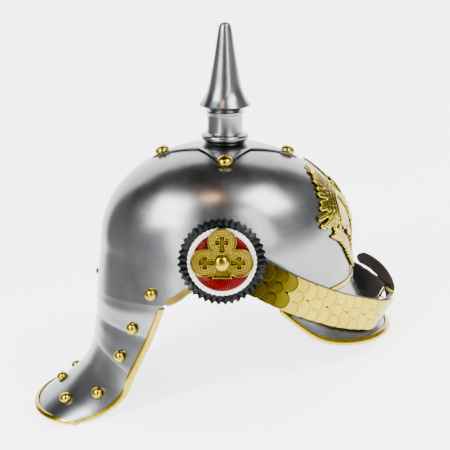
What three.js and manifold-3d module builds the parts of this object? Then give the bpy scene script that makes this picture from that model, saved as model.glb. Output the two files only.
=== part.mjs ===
// A steel cavalry spiked helmet: skull, lobster-tail neck, visor, spike, front plate, cockades and scaled
// chin strap. Millimetres, +Z up, the front towards -Y and the wearer's left towards +X. Every piece is
// modelled round the level helmet, with the neck's junction below the ear near height 0. The whole is then
// tipped forward onto the visor and the tail of the neck guard, as it lies on a table.
import * as THREE from 'three';
import { mergeVertices } from 'three/addons/utils/BufferGeometryUtils.js';
import Module from 'manifold-3d';

const wasm = await Module();
wasm.setup();

// Skull
const SKULL_LENGTH = 236;
const SKULL_WIDTH = 189;
const WIDEST_HEIGHT = 38;
const CROWN_RISE = 94;
const DOME_POWER = 2.2;
const LOWER_FLARE = 0.12;
const STEEL = 1.2;
const GAP = 0.3;
const BROW_HEIGHT = 9;
const VISOR_CORNER_ANGLE = 70;
const NECK_CORNER_ANGLE = 116.5;
const EAR_ARCH = 23;
const REAR_DIP = 5;

// Neck guard
const NECK_DROP = 125;
const NECK_REACH = 65;
const TAIL_HALF_WIDTH = 60;
const PLATE_TUCK = 9;

// Visor
const VISOR_REACH = 37.6;
const VISOR_DROP = 52;

// Brass edging
const BRASS = 0.8;
const BEAD_ROOM = 1;
const NECK_RIM_WIDTH = 6;
const VISOR_RIM_WIDTH = 6.5;
const EAR_TRIM_WIDTH = 5;
const SEAM_STRIP_WIDTH = 4.4;

// Spike and its base
const PLATE_ARM_LENGTHWAYS = 68;
const PLATE_ARM_SIDEWAYS = 54;
const PLATE_CORNER_LENGTHWAYS = 24;
const PLATE_CORNER_SIDEWAYS = 18;
const PLATE_LIFT = 2.4;
const PLATE_THICKNESS = 1;
const PLATE_SEAT = 0.7;
const NECK_RADIUS = 17.2;
const NECK_HEIGHT = 28.4;
const NECK_BEAD_RADIUS = 22.3;
const NECK_BEAD_HEIGHT = 6;
const SPIKE_HEIGHT = 80.5;
const SPIKE_SKIRT_RADIUS = 24.1;
const SPIKE_WALL = 1.6;
const FIXING_RADIUS = 4;
const NUT_RADIUS = 11;
const NUT_HEIGHT = 6;
const NUT_SEAT = 1.1;

// Studs
const BASE_STUD_RADIUS = 6.8;
const BASE_STUD_HEIGHT = 5.4;
const NECK_STUD_RADIUS = 5.7;
const REAR_RIVET_RADIUS = 3;
const SHANK_RADIUS = 1.6;

// Front plate
const EAGLE_HALF_SPAN = 66;
const EAGLE_FOOT_GAP = 0.5;
const EAGLE_CROWN_GAP = 8.5;
const EAGLE_SHEET = 1;
const EAGLE_STANDOFF = 0.8;
const EAGLE_RELIEF = 2.4;

// Cockades
const BOSS_HEIGHT = 49;
const BOSS_BEHIND = 2.6;
const BOSS_TILT = 4;
const BOSS_SEAT = 1.6;
const BLACK_RADIUS = 38.6;
const WHITE_RADIUS = 30;
const RED_RADIUS = 26;
const COCKADE_SHEET = 1.2;
const COCKADE_TEETH = 40;
const LOBE_RADIUS = 12.7;
const LOBE_RISE = 17.8;
const LOBE_SPREAD = 14.6;
const STEM_FOOT_WIDTH = 17.7;
const STEM_DROP = 14;
const TREFOIL_THICKNESS = 2;
const SCREW_RADIUS = 6.5;
const SCREW_HEIGHT = 4;
const POST_RADIUS = 2.5;

// Chin strap
const LEATHER = 1.6;
const STRAP_SLOPE = 26.5;
const STRAP_BOSS_WIDTH = 34;
const STRAP_FRONT_WIDTH = 19;
const LEATHER_MARGIN = 1;
const LEATHER_SHY = 1.6;
const TONGUE_WIDTH = 12;
const SCALE_PITCH = 11;
const SCALE_LAP = 4;
const SCALE_SHEET = 0.7;
const SCALE_STEP = 1.3;
const SCALE_SEAT = 1.2;
const BUCKLE_HEIGHT = 23;
const BUCKLE_WIDTH = 21;
const BUCKLE_WIRE = 3;

const halfLength = SKULL_LENGTH / 2;
const halfWidth = SKULL_WIDTH / 2;
const radians = THREE.MathUtils.degToRad;
const vector = (x, y, z) => new THREE.Vector3(x, y, z);
const shift = (point, way, distance) => point.clone().addScaledVector(way, distance);

// A smooth value between the rows of a table, by the Hermite curve through one of its columns.
function between(rows, place, column) {
  let k = 0;
  while (k < rows.length - 2 && place > rows[k + 1].at) {
    k += 1;
  }
  const slope = (m) => {
    const before = rows[Math.max(m - 1, 0)];
    const after = rows[Math.min(m + 1, rows.length - 1)];
    return (after[column] - before[column]) / (after.at - before.at);
  };
  const width = rows[k + 1].at - rows[k].at;
  const t = (place - rows[k].at) / width;
  const share = 3 * t ** 2 - 2 * t ** 3;
  const bends = (t ** 3 - 2 * t ** 2 + t) * slope(k) + (t ** 3 - t ** 2) * slope(k + 1);
  return (1 - share) * rows[k][column] + share * rows[k + 1][column] + width * bends;
}

// Welds a geometry into one closed body, drops collapsed triangles and turns its faces outward.
function closed(geometry) {
  const bare = geometry.clone();
  bare.deleteAttribute('normal');
  bare.deleteAttribute('uv');
  const welded = mergeVertices(bare, 1e-4);
  const corners = welded.index.array;
  const place = welded.attributes.position;
  const kept = [];
  let volume = 0;
  const [a, b, c] = [vector(), vector(), vector()];
  for (let k = 0; k < corners.length; k += 3) {
    const [p, q, r] = [corners[k], corners[k + 1], corners[k + 2]];
    if (p !== q && q !== r && r !== p) {
      kept.push(p, q, r);
      a.fromBufferAttribute(place, p);
      b.fromBufferAttribute(place, q);
      c.fromBufferAttribute(place, r);
      volume += a.dot(b.cross(c));
    }
  }
  if (volume < 0) {
    kept.reverse();
  }
  welded.setIndex(kept);
  return welded;
}

// A sheet as one closed body from the grids of its two faces. A wrapped sheet closes round its columns,
// and a domed one ends its last row in a single point.
function sheet(columns, rows, outer, inner, { wrapped = false, domed = false } = {}) {
  const across = wrapped ? columns : columns + 1;
  const rings = domed ? rows : rows + 1;
  const points = [];
  for (const face of [outer, inner]) {
    for (let j = 0; j < rings; j += 1) {
      for (let i = 0; i < across; i += 1) {
        points.push(face(i, j));
      }
    }
    if (domed) {
      points.push(face(0, rows));
    }
  }
  const size = points.length / 2;
  const id = (side, i, j) => side * size + (domed && j === rows ? size - 1 : j * across + (i % across));
  const index = [];
  const quad = (a, b, c, d) => index.push(a, b, c, a, c, d);
  for (let i = 0; i < columns; i += 1) {
    for (let j = 0; j < rows; j += 1) {
      quad(id(0, i, j), id(0, i + 1, j), id(0, i + 1, j + 1), id(0, i, j + 1));
      quad(id(1, i, j), id(1, i, j + 1), id(1, i + 1, j + 1), id(1, i + 1, j));
    }
    quad(id(0, i + 1, 0), id(0, i, 0), id(1, i, 0), id(1, i + 1, 0));
    if (!domed) {
      quad(id(0, i, rows), id(0, i + 1, rows), id(1, i + 1, rows), id(1, i, rows));
    }
  }
  for (let j = 0; j < rows && !wrapped; j += 1) {
    quad(id(0, 0, j), id(0, 0, j + 1), id(1, 0, j + 1), id(1, 0, j));
    quad(id(0, columns, j + 1), id(0, columns, j), id(1, columns, j), id(1, columns, j + 1));
  }
  const geometry = new THREE.BufferGeometry().setFromPoints(points);
  geometry.setIndex(index);
  return closed(geometry);
}

function solidOf(geometry) {
  const body = closed(geometry);
  const vertProperties = Float32Array.from(body.attributes.position.array);
  const triVerts = Uint32Array.from(body.index.array);
  return new wasm.Manifold(new wasm.Mesh({ numProp: 3, vertProperties, triVerts }));
}

function geometryOf(solid) {
  const { vertProperties, triVerts } = solid.simplify(0.05).getMesh();
  const geometry = new THREE.BufferGeometry();
  geometry.setAttribute('position', new THREE.BufferAttribute(vertProperties, 3));
  geometry.setIndex(new THREE.BufferAttribute(triVerts, 1));
  return geometry;
}

function joined(list) {
  return geometryOf(list.map(solidOf).reduce((whole, piece) => whole.add(piece)));
}

function cut(body, tools) {
  return geometryOf(tools.map(solidOf).reduce((rest, tool) => rest.subtract(tool), solidOf(body)));
}

// A turned piece about its own +Z, from a profile of [radius, height] corners that starts and ends on
// the axis.
function turned(profile, sides) {
  const geometry = new THREE.LatheGeometry(profile.map(([r, z]) => new THREE.Vector2(r, z)), sides);
  return closed(geometry.rotateX(Math.PI / 2));
}

// A rod or drill of the given radius, from one end to the other along +Z.
function rod(radius, bottom, top, sides = 8) {
  const geometry = new THREE.CylinderGeometry(radius, radius, top - bottom, sides);
  return geometry.rotateX(Math.PI / 2).translate(0, 0, (top + bottom) / 2);
}

// The placement that turns a piece's own +Z to a way and sets it down at a point, with +Y kept upward.
function seated(point, way) {
  const side = vector(0, 0, 1).cross(way);
  if (side.length() < 1e-6) {
    side.set(1, 0, 0);
  }
  side.normalize();
  const up = way.clone().cross(side);
  return new THREE.Matrix4().makeBasis(side, up, way).setPosition(point);
}

// The skull's outer face. Angles go round from the front, and latitudes run from 90 degrees at the crown
// to 0 at the widest height and on below it.
function latitudeOf(height) {
  const rise = (height - WIDEST_HEIGHT) / CROWN_RISE;
  return rise > 0 ? Math.asin(Math.min(rise, 1) ** (DOME_POWER / 2)) : rise;
}

function skullAt(angle, latitude) {
  const up = latitude > 0 ? Math.sin(latitude) ** (2 / DOME_POWER) : latitude;
  const flare = LOWER_FLARE * CROWN_RISE / halfLength;
  const out = latitude > 0 ? Math.max(Math.cos(latitude), 0) ** (2 / DOME_POWER) : 1 - latitude * flare;
  const height = WIDEST_HEIGHT + CROWN_RISE * up;
  return vector(halfWidth * out * Math.sin(angle), -halfLength * out * Math.cos(angle), height);
}

const skullAtHeight = (angle, height) => skullAt(angle, latitudeOf(height));

function skullNormal({ x, y, z }) {
  const out = Math.hypot(x / halfWidth, y / halfLength);
  const rise = (z - WIDEST_HEIGHT) / CROWN_RISE;
  const steep = rise > 0 ? out ** (DOME_POWER - 1) : 1;
  const lean = rise > 0 ? rise ** (DOME_POWER - 1) / CROWN_RISE : LOWER_FLARE / halfLength;
  const spread = out > 1e-6 ? steep / out : 0;
  return vector(spread * x / halfWidth ** 2, spread * y / halfLength ** 2, lean).normalize();
}

// The height of the dome's outer face over a point of the plan.
function domeHeight(x, y) {
  const out = Math.min(Math.hypot(x / halfWidth, y / halfLength), 1);
  return WIDEST_HEIGHT + CROWN_RISE * (1 - out ** DOME_POWER) ** (1 / DOME_POWER);
}

// The skull's lower edge: level over the visor, arched over the ear and dipping to the nape.
const EDGE_HEIGHTS = [
  { at: VISOR_CORNER_ANGLE, arch: 0, dip: 0 },
  { at: 79, arch: 0.45, dip: 0 },
  { at: 90, arch: 0.86, dip: 0 },
  { at: 100, arch: 1, dip: 0 },
  { at: 105, arch: 0.82, dip: 0 },
  { at: 110, arch: 0.46, dip: 0 },
  { at: NECK_CORNER_ANGLE, arch: 0.18, dip: 0 },
  { at: 130, arch: 0.08, dip: 0 },
  { at: 155, arch: 0, dip: 0.4 },
  { at: 180, arch: 0, dip: 1 },
];

function edgeHeight(angle) {
  const turn = Math.abs(THREE.MathUtils.euclideanModulo(THREE.MathUtils.radToDeg(angle) + 180, 360) - 180);
  if (turn < VISOR_CORNER_ANGLE) {
    return BROW_HEIGHT;
  }
  const fromBrow = THREE.MathUtils.smoothstep(turn, VISOR_CORNER_ANGLE, NECK_CORNER_ANGLE - 16);
  const arch = EAR_ARCH * between(EDGE_HEIGHTS, turn, 'arch');
  return BROW_HEIGHT * (1 - fromBrow) + arch - REAR_DIP * between(EDGE_HEIGHTS, turn, 'dip');
}

// The neck's outer face, from the skull's rear edge (station 0) over two lames (1, 2) to the tail (7).
// Each row is the arc of an ellipse from one side edge over the centre of the back to the other. Columns:
// back and down give the centre of the row, out, behind and below its side edge, and hub the ellipse's
// centre, as shares of the neck's reach and drop, the half widths and the side edge's own place.
const NECK_SHARES = [
  { at: 1, back: 0.018, down: 0.224, out: 0.5, behind: 0.356, below: 0.249, hub: 0.1 },
  { at: 2, back: 0.069, down: 0.419, out: 0.31, behind: 0.455, below: 0.572, hub: 0.25 },
  { at: 3, back: 0.185, down: 0.612, out: 0.22, behind: 0.487, below: 0.715, hub: 0.35 },
  { at: 4, back: 0.323, down: 0.712, out: 0.15, behind: 0.542, below: 0.82, hub: 0.5 },
  { at: 5, back: 0.492, down: 0.8, out: 0.1, behind: 0.619, below: 0.91, hub: 0.7 },
  { at: 6, back: 0.738, down: 0.896, out: 0.05, behind: 0.693, below: 0.965, hub: 0.85 },
  { at: 7, back: 1, down: 1, out: 0, behind: 0.751, below: 1, hub: 0.97 },
];

function neckRow(at) {
  const tuck = Math.max(-at, 0);
  const corner = radians(NECK_CORNER_ANGLE);
  const centre = skullAtHeight(Math.PI, edgeHeight(Math.PI) + tuck);
  const side = skullAtHeight(corner, edgeHeight(corner) + tuck);
  return { at, back: centre.y, down: centre.z, out: side.x, behind: side.y, below: side.z, hub: 0 };
}

const napeRow = neckRow(0);
const NECK_ROWS = [
  { ...neckRow(-PLATE_TUCK), at: -0.35 },
  napeRow,
  ...NECK_SHARES.map((row) => ({
    at: row.at,
    back: napeRow.back + NECK_REACH * row.back,
    down: -NECK_DROP * row.down,
    out: TAIL_HALF_WIDTH + (napeRow.out - TAIL_HALF_WIDTH) * row.out * 1.36,
    behind: (napeRow.back + NECK_REACH) * row.behind,
    below: -NECK_DROP * row.below,
    hub: row.hub * (napeRow.back + NECK_REACH) * row.behind,
  })),
];

// A point of the neck at a share across (-1 to 1, the wearer's right to left) and a station.
function neckAt(share, station) {
  const row = {};
  for (const column of ['back', 'down', 'out', 'behind', 'below', 'hub']) {
    row[column] = between(NECK_ROWS, station, column);
  }
  const depth = row.back - row.hub;
  const cosine = (row.behind - row.hub) / depth;
  const breadth = row.out / Math.sqrt(1 - cosine ** 2);
  const angle = Math.acos(cosine) * share;
  const height = row.down + (row.below - row.down) * share ** 2;
  return vector(breadth * Math.sin(angle), row.hub + depth * Math.cos(angle), height);
}

// The outward normal of a face given as a function of two parameters, turned away from an inner point.
function normalOf(face, u, v, step, away) {
  const alongU = face(u + step, v).sub(face(u - step, v));
  const alongV = face(u, v + step).sub(face(u, v - step));
  const normal = alongU.cross(alongV).normalize();
  return normal.dot(face(u, v).sub(away)) < 0 ? normal.negate() : normal;
}

const NECK_INSIDE = vector(0, 0, -NECK_DROP / 3);
const neckNormal = (share, station) =>
  normalOf(neckAt, share * 0.98, Math.min(station, 6.98), 0.01, NECK_INSIDE);

// The visor's outer face, from its root on the skull's brow edge (share down 0) to its rim (1), and from
// the right corner (share across -1) to the left (1). It drops steeply at first and then flares.
const VISOR_FLARE = { run: 0.196, drop: 0.58 };
const VISOR_RIM_DROP = [
  { at: 0, drop: 1 },
  { at: 0.37, drop: 0.975 },
  { at: 0.55, drop: 0.92 },
  { at: 0.667, drop: 0.845 },
  { at: 0.763, drop: 0.73 },
  { at: 0.86, drop: 0.49 },
  { at: 0.954, drop: 0.19 },
  { at: 1, drop: 0 },
];
const browOf = (angle) => skullAtHeight(angle, BROW_HEIGHT);
const visorCorner = browOf(radians(VISOR_CORNER_ANGLE));
const visorTip = browOf(0).y - VISOR_REACH;

function visorAt(share, down) {
  const root = browOf(radians(VISOR_CORNER_ANGLE) * share).setZ(BROW_HEIGHT - GAP);
  const angle = share * Math.PI / 2;
  const depth = visorTip - visorCorner.y;
  const drop = VISOR_DROP * between(VISOR_RIM_DROP, Math.abs(share), 'drop');
  const [across, ahead] = [visorCorner.x * Math.sin(angle), visorCorner.y + depth * Math.cos(angle)];
  const rim = vector(across, ahead, BROW_HEIGHT - drop);
  const bend = 2 * down * (1 - down);
  const run = bend * VISOR_FLARE.run + down ** 2;
  const fall = bend * VISOR_FLARE.drop + down ** 2;
  const point = root.clone().lerp(rim, run);
  return point.setZ(root.z + (rim.z - root.z) * fall);
}

const VISOR_INSIDE = vector(0, 0, -VISOR_DROP);
const visorNormal = (share, down) =>
  normalOf(visorAt, share, THREE.MathUtils.clamp(down, 0.02, 0.98), 0.01, VISOR_INSIDE);

// A folded strip of brass along the edge of a sheet. Each frame gives a point of the edge and the sheet's
// normal there; over and under are the room left above and below that face, and lap the strip's width on
// the sheet, which lies on the side of the inner point. A frame may give its own room under and way in.
function foldedEdge(frames, { lap, over, under, inner }) {
  const bead = BRASS + BEAD_ROOM;
  const section = (room) => [
    { along: lap, out: over + BRASS, inAlong: lap, inOut: over },
    { along: -0.3 * bead, out: over + BRASS, inAlong: -GAP, inOut: over },
    { along: -bead, out: (over - room) / 2, inAlong: -2 * GAP, inOut: (over - room) / 2 },
    { along: -0.3 * bead, out: -room - BRASS, inAlong: -GAP, inOut: -room },
    { along: lap, out: -room - BRASS, inAlong: lap, inOut: -room },
  ];
  const sections = frames.map((frame) => section(frame.under ?? under));
  const last = frames.length - 1;
  const inward = (i) => {
    const tangent = frames[Math.min(i + 1, last)].point.clone().sub(frames[Math.max(i - 1, 0)].point);
    return frames[i].out.clone().cross(tangent).normalize();
  };
  const middle = Math.floor(last / 2);
  const sign = Math.sign(inner.clone().sub(frames[middle].point).dot(inward(middle)));
  const ways = frames.map(({ into }, i) => into ?? inward(i).multiplyScalar(sign));
  const at = (along, height) => (i, j) => {
    const { point, out, most = lap } = frames[i];
    const corner = sections[i][j];
    return shift(shift(point, ways[i], Math.min(corner[along], most)), out, corner[height]);
  };
  return sheet(last, 4, at('along', 'out'), at('inAlong', 'inOut'));
}

const steel = () => new THREE.MeshStandardMaterial({ color: 0xb9bcbf, metalness: 1, roughness: 0.18 });
const brass = () => new THREE.MeshStandardMaterial({ color: 0xc79a3e, metalness: 1, roughness: 0.25 });
const oldBrass = () => new THREE.MeshStandardMaterial({ color: 0x6e5a2a, metalness: 1, roughness: 0.4 });
const leather = () => new THREE.MeshStandardMaterial({ color: 0x141213, metalness: 0, roughness: 0.5 });
const paint = (colour) => new THREE.MeshStandardMaterial({ color: colour, metalness: 0, roughness: 0.3 });

const helmet = new THREE.Group();

function add(name, geometry, material, matrix = new THREE.Matrix4()) {
  const mesh = new THREE.Mesh(geometry, material);
  mesh.name = name;
  mesh.applyMatrix4(matrix);
  helmet.add(mesh);
  return mesh;
}

// Studs: a domed head on the outer face with a shank through the sheets. Each one is a place, the way it
// faces, its head and how deep its shank goes.
function stud(place, way, radius, height, reach) {
  const seat = 2 * GAP;
  const profile = [[0, -reach], [SHANK_RADIUS, -reach], [SHANK_RADIUS, seat]];
  profile.push([radius, seat], [radius, seat + 1]);
  const steps = 2;
  for (let k = 1; k <= steps; k += 1) {
    const angle = Math.PI / 2 * k / steps;
    profile.push([radius * Math.cos(angle), seat + 1 + (height - 1) * Math.sin(angle)]);
  }
  profile[profile.length - 1][0] = 0;
  const matrix = seated(place, way);
  const drill = rod(SHANK_RADIUS + GAP, -reach - 2, 2).applyMatrix4(matrix);
  return { geometry: turned(profile, 10), matrix, drill };
}

function studOnSkull(angle, height, radius, rise, reach) {
  const place = skullAtHeight(angle, height);
  return stud(place, skullNormal(place), radius, rise, reach);
}

const studOnNeck = (share, station, reach) =>
  stud(neckAt(share, station), neckNormal(share, station), NECK_STUD_RADIUS, NECK_STUD_RADIUS, reach);

const thickness = STEEL + GAP;
const LAP_DEPTH = STEEL + 2 * GAP;
const twoSheets = LAP_DEPTH + thickness + 0.6;
const SKULL_STUD_ANGLE = 122.5;
const SKULL_STUD_SHARE = 1.4;
const skullStuds = [[-1, 'right'], [1, 'left']].map(([side, hand]) => {
  const height = BROW_HEIGHT * SKULL_STUD_SHARE;
  const angle = side * radians(SKULL_STUD_ANGLE);
  const piece = studOnSkull(angle, height, NECK_STUD_RADIUS, NECK_STUD_RADIUS, twoSheets);
  return { name: `neck_stud_skull_${hand}`, piece };
});
const rivetHeight = PLATE_TUCK - REAR_DIP + REAR_RIVET_RADIUS;
const rearRivet = studOnSkull(Math.PI, rivetHeight, REAR_RIVET_RADIUS, 2.4, thickness);
const STUD_PLACES = [
  { name: 'upper', share: 0.81, station: 0.84, plates: ['neck_lame_upper', 'neck_lame_lower'] },
  { name: 'lower', share: 0.8, station: 1.7, plates: ['neck_lame_lower', 'neck_guard'] },
  { name: 'side', share: 0.75, station: 4, plates: ['neck_guard'] },
  { name: 'tail', share: 0.51, station: 5.55, plates: ['neck_guard'] },
];
const neckStuds = [{ name: 'neck_stud_centre', piece: studOnNeck(0, 5.4, thickness), plates: ['neck_guard'] }];
for (const { name, share, station, plates } of STUD_PLACES) {
  const reach = plates.length > 1 ? twoSheets : thickness;
  neckStuds.push({ name: `neck_stud_${name}_right`, piece: studOnNeck(-share, station, reach), plates });
  neckStuds.push({ name: `neck_stud_${name}_left`, piece: studOnNeck(share, station, reach), plates });
}

// Base plate under the spike: a four-pointed star bent over the crown, with its inner corners lifted.
function armShape(angle) {
  const [c, s] = [Math.abs(Math.cos(angle)), Math.abs(Math.sin(angle))];
  const corner = Math.atan2(PLATE_CORNER_SIDEWAYS, PLATE_CORNER_LENGTHWAYS);
  const nearFront = Math.atan2(s, c) < corner;
  const tip = nearFront ? [PLATE_ARM_LENGTHWAYS, 0] : [0, PLATE_ARM_SIDEWAYS];
  const [dx, dy] = [PLATE_CORNER_LENGTHWAYS - tip[0], PLATE_CORNER_SIDEWAYS - tip[1]];
  return (tip[0] * dy - tip[1] * dx) / (c * dy - s * dx);
}

function basePlate() {
  const corner = Math.atan2(PLATE_CORNER_SIDEWAYS, PLATE_CORNER_LENGTHWAYS);
  const stops = [0, corner / 3, corner * 0.75, corner, corner + 0.25, (corner + Math.PI / 2) / 2 + 0.2];
  const quarter = [...stops, Math.PI / 2];
  const angles = [];
  for (let k = 0; k < 4; k += 1) {
    const part = k % 2 === 0 ? quarter : quarter.map((angle) => Math.PI / 2 - angle).reverse();
    angles.push(...part.slice(0, -1).map((angle) => angle + k * Math.PI / 2));
  }
  const rows = 6;
  const hole = FIXING_RADIUS + GAP;
  const at = (rise) => (i, j) => {
    const angle = angles[i % angles.length];
    const reach = hole + (armShape(angle) - hole) * j / rows;
    const [x, y] = [reach * Math.sin(angle), -reach * Math.cos(angle)];
    const openness = Math.abs(Math.sin(2 * angle)) ** 1.5;
    const rising = THREE.MathUtils.smoothstep(reach, NECK_RADIUS, PLATE_CORNER_LENGTHWAYS * 1.25);
    const lift = PLATE_LIFT * openness * rising;
    const foot = vector(x, y, domeHeight(x, y));
    return shift(foot, skullNormal(foot), PLATE_SEAT + lift + rise);
  };
  return sheet(angles.length, rows, at(PLATE_THICKNESS), at(0), { wrapped: true });
}

const BASE_STUD_SHARE = 0.845;
const baseStuds = ['front', 'left', 'rear', 'right'].map((name, k) => {
  const arm = k % 2 === 0 ? PLATE_ARM_LENGTHWAYS : PLATE_ARM_SIDEWAYS;
  const angle = k * Math.PI / 2;
  const [x, y] = [BASE_STUD_SHARE * arm * Math.sin(angle), -BASE_STUD_SHARE * arm * Math.cos(angle)];
  const foot = vector(x, y, domeHeight(x, y));
  const way = skullNormal(foot);
  const place = shift(foot, way, PLATE_SEAT + PLATE_THICKNESS);
  const reach = PLATE_THICKNESS + 2 * thickness;
  return { name: `base_stud_${name}`, ...stud(place, way, BASE_STUD_RADIUS, BASE_STUD_HEIGHT, reach) };
});

// Spike, the neck that it screws onto and the cap nut inside the crown.
const crown = WIDEST_HEIGHT + CROWN_RISE;
const neckFoot = crown + PLATE_SEAT + PLATE_THICKNESS + GAP;
const neckTop = neckFoot + NECK_HEIGHT;
const nutTop = crown - STEEL - NUT_SEAT;

function spikeNeck() {
  const beadBottom = neckFoot + 2;
  const beadTop = beadBottom + NECK_BEAD_HEIGHT;
  const beadMiddle = (beadBottom + beadTop) / 2;
  const end = nutTop - NUT_HEIGHT + 2.4;
  const profile = [[0, end], [FIXING_RADIUS, end], [FIXING_RADIUS, neckFoot]];
  profile.push([NECK_RADIUS - 1.4, neckFoot], [NECK_RADIUS - 0.8, beadBottom]);
  const round = NECK_BEAD_HEIGHT / 2;
  for (let k = 0; k <= 4; k += 1) {
    const angle = Math.PI * (k / 4 - 0.5) * 0.8;
    profile.push([NECK_BEAD_RADIUS - round + round * Math.cos(angle), beadMiddle + round * Math.sin(angle)]);
  }
  profile.push([NECK_RADIUS, beadTop], [NECK_RADIUS, neckTop]);
  const spigot = NECK_RADIUS - SPIKE_WALL - GAP - 1;
  profile.push([spigot, neckTop], [spigot, neckTop + 6], [0, neckTop + 6]);
  return turned(profile, 20);
}

// Columns: up is a share of the spike's height and out one of its skirt's radius.
const SPIKE_OUTLINE = [
  { up: 0, out: 0.697 },
  { up: 0.036, out: 0.766 },
  { up: 0.066, out: 0.99 },
  { up: 0.072, out: 1 },
  { up: 0.096, out: 0.955 },
  { up: 0.158, out: 0.816 },
  { up: 0.22, out: 0.705 },
  { up: 0.281, out: 0.643 },
  { up: 0.406, out: 0.557 },
  { up: 0.651, out: 0.402 },
  { up: 0.894, out: 0.275 },
  { up: 0.96, out: 0.226 },
  { up: 0.988, out: 0.13 },
  { up: 1, out: 0 },
];

function spike() {
  const foot = neckTop + GAP;
  const place = ({ up, out }) => [SPIKE_SKIRT_RADIUS * out, foot + SPIKE_HEIGHT * up];
  const outer = SPIKE_OUTLINE.map(place);
  const bore = NECK_RADIUS - SPIKE_WALL - 1;
  const inner = SPIKE_OUTLINE.slice(6, -3).map(place).map(([radius, height]) => [radius - SPIKE_WALL, height]);
  const last = inner[inner.length - 1][1];
  return turned([[0, last + 3], ...inner.reverse(), [bore, foot + 8], [bore, foot], ...outer], 20);
}

function capNut() {
  const bottom = nutTop - NUT_HEIGHT;
  const bore = (FIXING_RADIUS + GAP) / Math.cos(Math.PI / 6);
  const outside = [[0, bottom], [NUT_RADIUS, bottom], [NUT_RADIUS, nutTop]];
  return turned([...outside, [bore, nutTop], [bore, bottom + 2], [0, bottom + 2]], 6);
}

// Cockades. Each is a stack of pressed discs on a post through the skull, leaning back with the boss.
const stackFoot = BOSS_SEAT + LEATHER + SCALE_SEAT + SCALE_SHEET + SCALE_STEP + 2 * GAP;

function bossFrame(side) {
  const foot = skullAtHeight(side * (Math.PI / 2 + BOSS_BEHIND / halfLength), BOSS_HEIGHT);
  const tilt = radians(BOSS_TILT);
  return { foot, way: vector(side * Math.cos(tilt), 0, Math.sin(tilt)) };
}

function toothedDisc() {
  const shape = new THREE.Shape();
  for (let k = 0; k < 2 * COCKADE_TEETH; k += 1) {
    const angle = Math.PI * k / COCKADE_TEETH;
    const radius = k % 2 === 0 ? BLACK_RADIUS : BLACK_RADIUS - 1.6;
    shape[k === 0 ? 'moveTo' : 'lineTo'](radius * Math.cos(angle), radius * Math.sin(angle));
  }
  return new THREE.ExtrudeGeometry(shape, { depth: COCKADE_SHEET, bevelEnabled: false });
}

function disc(radius, sides) {
  const hole = POST_RADIUS + GAP;
  const top = [[radius - 0.4, COCKADE_SHEET], [hole, COCKADE_SHEET]];
  return turned([[hole, 0], [radius, 0], ...top, [hole, 0]], sides);
}

function trefoil() {
  const lobes = [[0, LOBE_RISE], [LOBE_SPREAD, 0], [-LOBE_SPREAD, 0]];
  const parts = lobes.map(([x, y]) => rod(LOBE_RADIUS, 0, TREFOIL_THICKNESS, 14).translate(x, y, 0));
  const stem = new THREE.Shape();
  const waist = STEM_FOOT_WIDTH * 0.24;
  stem.moveTo(-waist, LOBE_RISE / 2);
  stem.lineTo(-STEM_FOOT_WIDTH / 2, -STEM_DROP);
  stem.lineTo(STEM_FOOT_WIDTH / 2, -STEM_DROP);
  stem.lineTo(waist, LOBE_RISE / 2);
  parts.push(new THREE.ExtrudeGeometry(stem, { depth: TREFOIL_THICKNESS, bevelEnabled: false }));
  return cut(joined(parts), [rod(POST_RADIUS + GAP, -1, TREFOIL_THICKNESS + 1)]);
}

function cockade(side, hand) {
  const { foot, way } = bossFrame(side);
  const matrix = seated(foot, way);
  const level = (height) => matrix.clone().multiply(new THREE.Matrix4().makeTranslation(0, 0, height));
  const layer = COCKADE_SHEET + GAP;
  const drill = rod(POST_RADIUS + GAP, -2, COCKADE_SHEET + 2);
  add(`cockade_black_${hand}`, cut(toothedDisc(), [drill]), paint(0x14161a), level(stackFoot));
  add(`cockade_white_${hand}`, disc(WHITE_RADIUS, 24), paint(0xdedcd4), level(stackFoot + layer));
  add(`cockade_red_${hand}`, disc(RED_RADIUS, 24), paint(0x8f1a1c), level(stackFoot + 2 * layer));
  add(`cockade_trefoil_${hand}`, trefoil(), brass(), level(stackFoot + 3 * layer));
  const seat = stackFoot + 3 * layer + TREFOIL_THICKNESS + GAP;
  const end = -STEEL - 3;
  const profile = [[0, end], [POST_RADIUS, end], [POST_RADIUS, seat], [SCREW_RADIUS, seat]];
  profile.push([SCREW_RADIUS, seat + 1], [SCREW_RADIUS * 0.8, seat + SCREW_HEIGHT * 0.75]);
  profile.push([0, seat + SCREW_HEIGHT]);
  add(`cockade_screw_${hand}`, turned(profile, 10), brass(), matrix);
  return rod(POST_RADIUS + GAP, -8, 8).applyMatrix4(matrix);
}

// Chin strap. Its route runs from the boss forward over the visor, given by the middle of the leather.
// Columns: ahead is a share of the way from the boss to the visor's tip, out one of the boss's distance
// from the middle, and down one of the drop from the boss to the strap's height at the front.
const STRAP_ROUTE = [
  { ahead: 0.361, out: -0.03, down: 0.43 },
  { ahead: 0.509, out: -0.14, down: 0.605 },
  { ahead: 0.645, out: -0.24, down: 0.745 },
  { ahead: 0.742, out: -0.35, down: 0.835 },
  { ahead: 0.866, out: -0.53, down: 0.94 },
  { ahead: 0.944, out: -0.78, down: 0.985 },
  { ahead: 0.973, out: -0.93, down: 1 },
  { ahead: 0.977, out: -1, down: 1 },
];
// The free tongue goes on past the front centre, out of the buckle and up on the other side.
const TONGUE_ROUTE = [
  { ahead: 0.984, out: -1.053, down: 1 },
  { ahead: 1.014, out: -1.128, down: 1 },
  { ahead: 1.026, out: -1.2, down: 0.935 },
  { ahead: 0.996, out: -1.31, down: 0.775 },
  { ahead: 0.93, out: -1.45, down: 0.66 },
  { ahead: 0.85, out: -1.6, down: 0.62 },
];
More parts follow.
